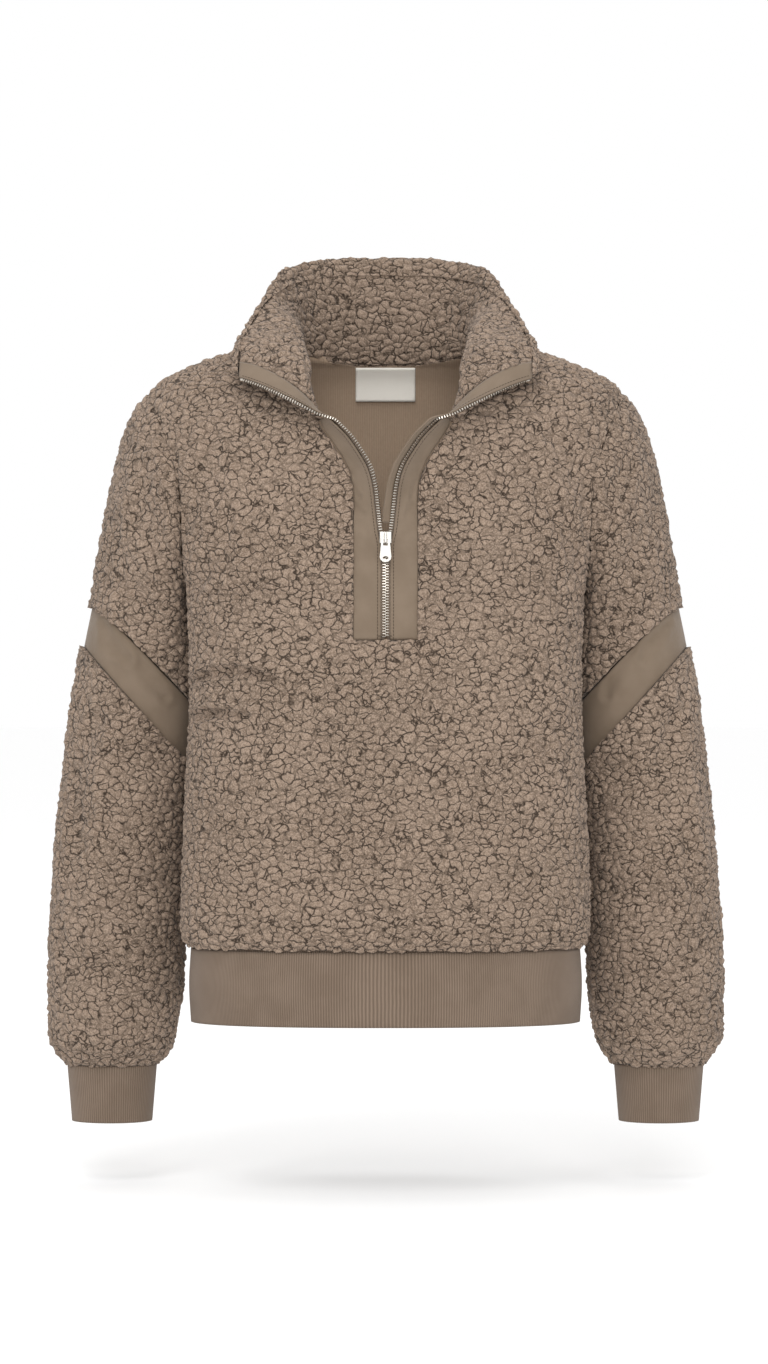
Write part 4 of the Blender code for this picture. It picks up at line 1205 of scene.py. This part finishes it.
def spaced(line, start, pitch):
    """Frames along the line, each turned so that x points inwards, y forwards and z outwards."""
    points = np.array([p for p, _, _ in line])
    far = np.concatenate([[0], np.cumsum(np.linalg.norm(np.diff(points, axis=0), axis=1))])
    for at in np.arange(start, far[-1] - 0.5 * pitch, pitch):
        k = int(np.clip(np.searchsorted(far, at), 1, len(line) - 1))
        share = (at - far[k - 1]) / (far[k] - far[k - 1])
        n, inward = Vector(line[k][1]), Vector(line[k][2])
        along = Vector(unit(points[k] - points[k - 1]))
        inward = (inward - along * inward.dot(along)).normalized()
        n = along.cross(inward).normalized() * (1 if along.cross(inward).dot(n) > 0 else -1)
        turn = Matrix((inward, along, n)).transposed().to_4x4()
        yield Matrix.Translation(Vector(points[k - 1] + (points[k] - points[k - 1]) * share) * MM) @ turn


def small_parts(name, frames, size, push, taper, mirror, finish):
    """Small rounded blocks, one in each frame. The inner end is thicker and the outer one deeper."""
    bm = bmesh.new()
    for place in frames:
        part = bmesh.ops.create_cube(bm, size=1)["verts"]
        bmesh.ops.scale(bm, vec=[side * MM for side in size], verts=part)
        for v in part:
            if v.co.x > 0:
                v.co.y *= taper
            else:
                v.co.z *= taper
        bmesh.ops.transform(bm, matrix=place @ Matrix.Translation((push * MM, 0, 0)), verts=part)
    bmesh.ops.bevel(
        bm,
        geom=bm.edges[:],
        offset=EDGE_ROUNDING * min(size) * MM,
        segments=1,
        affect="EDGES",
        profile=0.5,
        material=-1,
    )
    if mirror:
        bmesh.ops.scale(bm, vec=(-1, 1, 1), verts=bm.verts)
    bmesh.ops.recalc_face_normals(bm, faces=bm.faces)
    piece = finished(name, bm, (finish,))
    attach(piece, "garment")


chain_line = seam_line(along_front + along_leaf, 0, TAPE_OUT - TAPE / 2)
for side, mirror in (("left", False), ("right", True)):
    frames = list(spaced(chain_line, CHAIN_FOOT + TOOTH_PITCH / 2 * mirror, TOOTH_PITCH))
    for name, places, size, taper in (
        (f"teeth_{side}", frames[:-1], TOOTH, CLASP_TAPER),
        (f"top_stop_{side}", frames[-1:], TOP_STOP, 1.0),
    ):
        small_parts(name, places, size, CLASP_BACK, taper, mirror, SILVER)
for node in ("zip_slider", "zip_pull_tab"):
    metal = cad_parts[node].data
    metal.materials.clear()
    metal.materials.append(POLISHED)

# Topstitching. Sunk rows of dark thread hold the placket down beside the teeth, close its foot with a
# bar, and hold the facing to the opened collar.
STITCH = (0.7, 2.2, 0.6)
STITCH_PITCH = 3.0
ROW_START = 1.6
PLACKET_STITCH = 6.2
FACING_STITCH = 3.4
BAR_HEIGHT = -275.5
BAR_STITCH = (0.6, 1.4, 0.8)
BAR_PITCH = 1.6


def thread_material():
    material, tree, shader = new_material("stitching thread", 0.8)
    dark, light = (0.050, 0.034, 0.023), (0.080, 0.057, 0.039)
    feed(tree, shader, tree.mix(tree.noise(tree.here(), 1.0), dark, light))
    return material


THREAD = thread_material()
placket_line = seam_line(along_front, PLACKET_STITCH, PLACKET_OUT - 0.1)
facing_line = seam_line(along_leaf[2:], FACING_STITCH, FACING_OUT - FACING + 0.1)
for side, mirror in (("left", False), ("right", True)):
    for name, line in (("placket_stitches", placket_line), ("facing_stitches", facing_line)):
        frames = spaced(line, ROW_START, STITCH_PITCH)
        small_parts(f"{name}_{side}", frames, STITCH, 0.0, 1.0, mirror, THREAD)
bar_line = []
for x in np.linspace(-PLACKET_STITCH - 1, PLACKET_STITCH + 1, 9):
    p, n = wall_middle(-abs(x), BAR_HEIGHT, 1)
    bar_line.append([np.array([x, p[1], p[2]]) + n * (PLACKET_OUT + 0.2), n, np.array([0.0, 0.0, 1.0])])
frames = spaced(bar_line, 0.2, BAR_PITCH)
small_parts("placket_bar", frames, BAR_STITCH, 0.0, 1.0, False, THREAD)

# Neck label. A bare satin-woven tag, sewn at its top edge to the inside of the back, below the neck
# seam. Its lower edge hangs free and curls a little away from the cloth.
LABEL_HALF = 29.0
LABEL_TOP = -9.5
LABEL_BOTTOM = -43.0
LABEL_BEHIND = 7.6
LABEL_CURL = 1.2
LABEL_PITCH = 0.8
LABEL_CLOTH = 0.7


def label_material():
    material, tree, shader = new_material("woven label", 0.6, sheen=0.1)
    place = tree.here()
    turns = 2 * math.pi / (LABEL_PITCH * MM)
    across, up = (tree.axis(place, letter) * turns for letter in "XZ")
    weave = across.sine() * up.sine() * 0.5 + 0.5
    cloud = tree.noise(place, 6, 3.0)
    tone = tree.mix(weave * 0.5 + cloud * 0.3, (0.860, 0.820, 0.740), (0.960, 0.925, 0.850))
    feed(tree, shader, tone, weave, 0.2, 0.5)
    return material


def label_grid():
    grid = []
    for z in np.linspace(LABEL_TOP, LABEL_BOTTOM, 6):
        line = []
        for x in np.linspace(-LABEL_HALF, LABEL_HALF, 9):
            p, n = back_wall(x, z)
            n[0] = math.copysign(n[0], x) if x else 0
            curl = LABEL_CURL * ((LABEL_TOP - z) / (LABEL_TOP - LABEL_BOTTOM)) ** 2
            line.append(np.array([x, p[1], z]) - n * (LABEL_BEHIND + curl))
        grid.append(line)
    return grid


label = cloth("label", label_grid(), (label_material(),), LABEL_CLOTH, times=3, relief=False)
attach(label, "garment")
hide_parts("neck_label")

# Stage. A pale floor and a white surround, three large soft lights, and the camera level with the
# belly, 3 m away.
CAMERA_AWAY = 3000.0
MM_PER_PIXEL = 0.94
PHOTO_HEIGHT = 1364
CAMERA_HEIGHT = -317.0
CAMERA_SIDE = -1.4
SENSOR = 36.0
FLOOR = -790.0
FLOOR_HALF = 30
LAMP_AIM = Vector((0, 0, -0.3))

paper, tree, shader = new_material("pale floor", 0.9)
shader.inputs["Base Color"].default_value = (0.99, 0.99, 0.99, 1)
bm = bmesh.new()
bmesh.ops.create_grid(bm, x_segments=1, y_segments=1, size=FLOOR_HALF)
bmesh.ops.translate(bm, vec=(0, 0, FLOOR * MM), verts=bm.verts)
floor = finished("floor", bm, (paper,))

world = bpy.data.worlds.new("studio")
world.use_nodes = True
world.node_tree.nodes["Background"].inputs[0].default_value = (1, 1, 1, 1)
world.node_tree.nodes["Background"].inputs[1].default_value = 1.0
bpy.context.scene.world = world
bpy.context.scene.view_settings.view_transform = "Standard"

for name, place, size, watts in (
    ("key", (-0.7, -2.1, 2.5), 1.2, 28),
    ("front", (0.2, -3.2, 0.7), 1.4, 32),
    ("top", (0, 0.3, 2.6), 1.6, 12),
):
    lamp = bpy.data.lights.new(name, "AREA")
    lamp.shape = "SQUARE"
    lamp.size = size
    lamp.energy = watts
    light = bpy.data.objects.new(name, lamp)
    light.location = place
    light.rotation_euler = (LAMP_AIM - Vector(place)).to_track_quat("-Z", "Y").to_euler()
    bpy.context.scene.collection.objects.link(light)

camera_data = bpy.data.cameras.new("camera")
camera_data.sensor_width = SENSOR
camera_data.lens = SENSOR * CAMERA_AWAY / (PHOTO_HEIGHT * MM_PER_PIXEL)
camera_data.clip_start = 0.1
camera = bpy.data.objects.new("camera", camera_data)
camera.location = (CAMERA_SIDE * MM, -CAMERA_AWAY * MM, CAMERA_HEIGHT * MM)
camera.rotation_euler = (math.pi / 2, 0, 0)
bpy.context.scene.collection.objects.link(camera)
bpy.context.scene.camera = camera
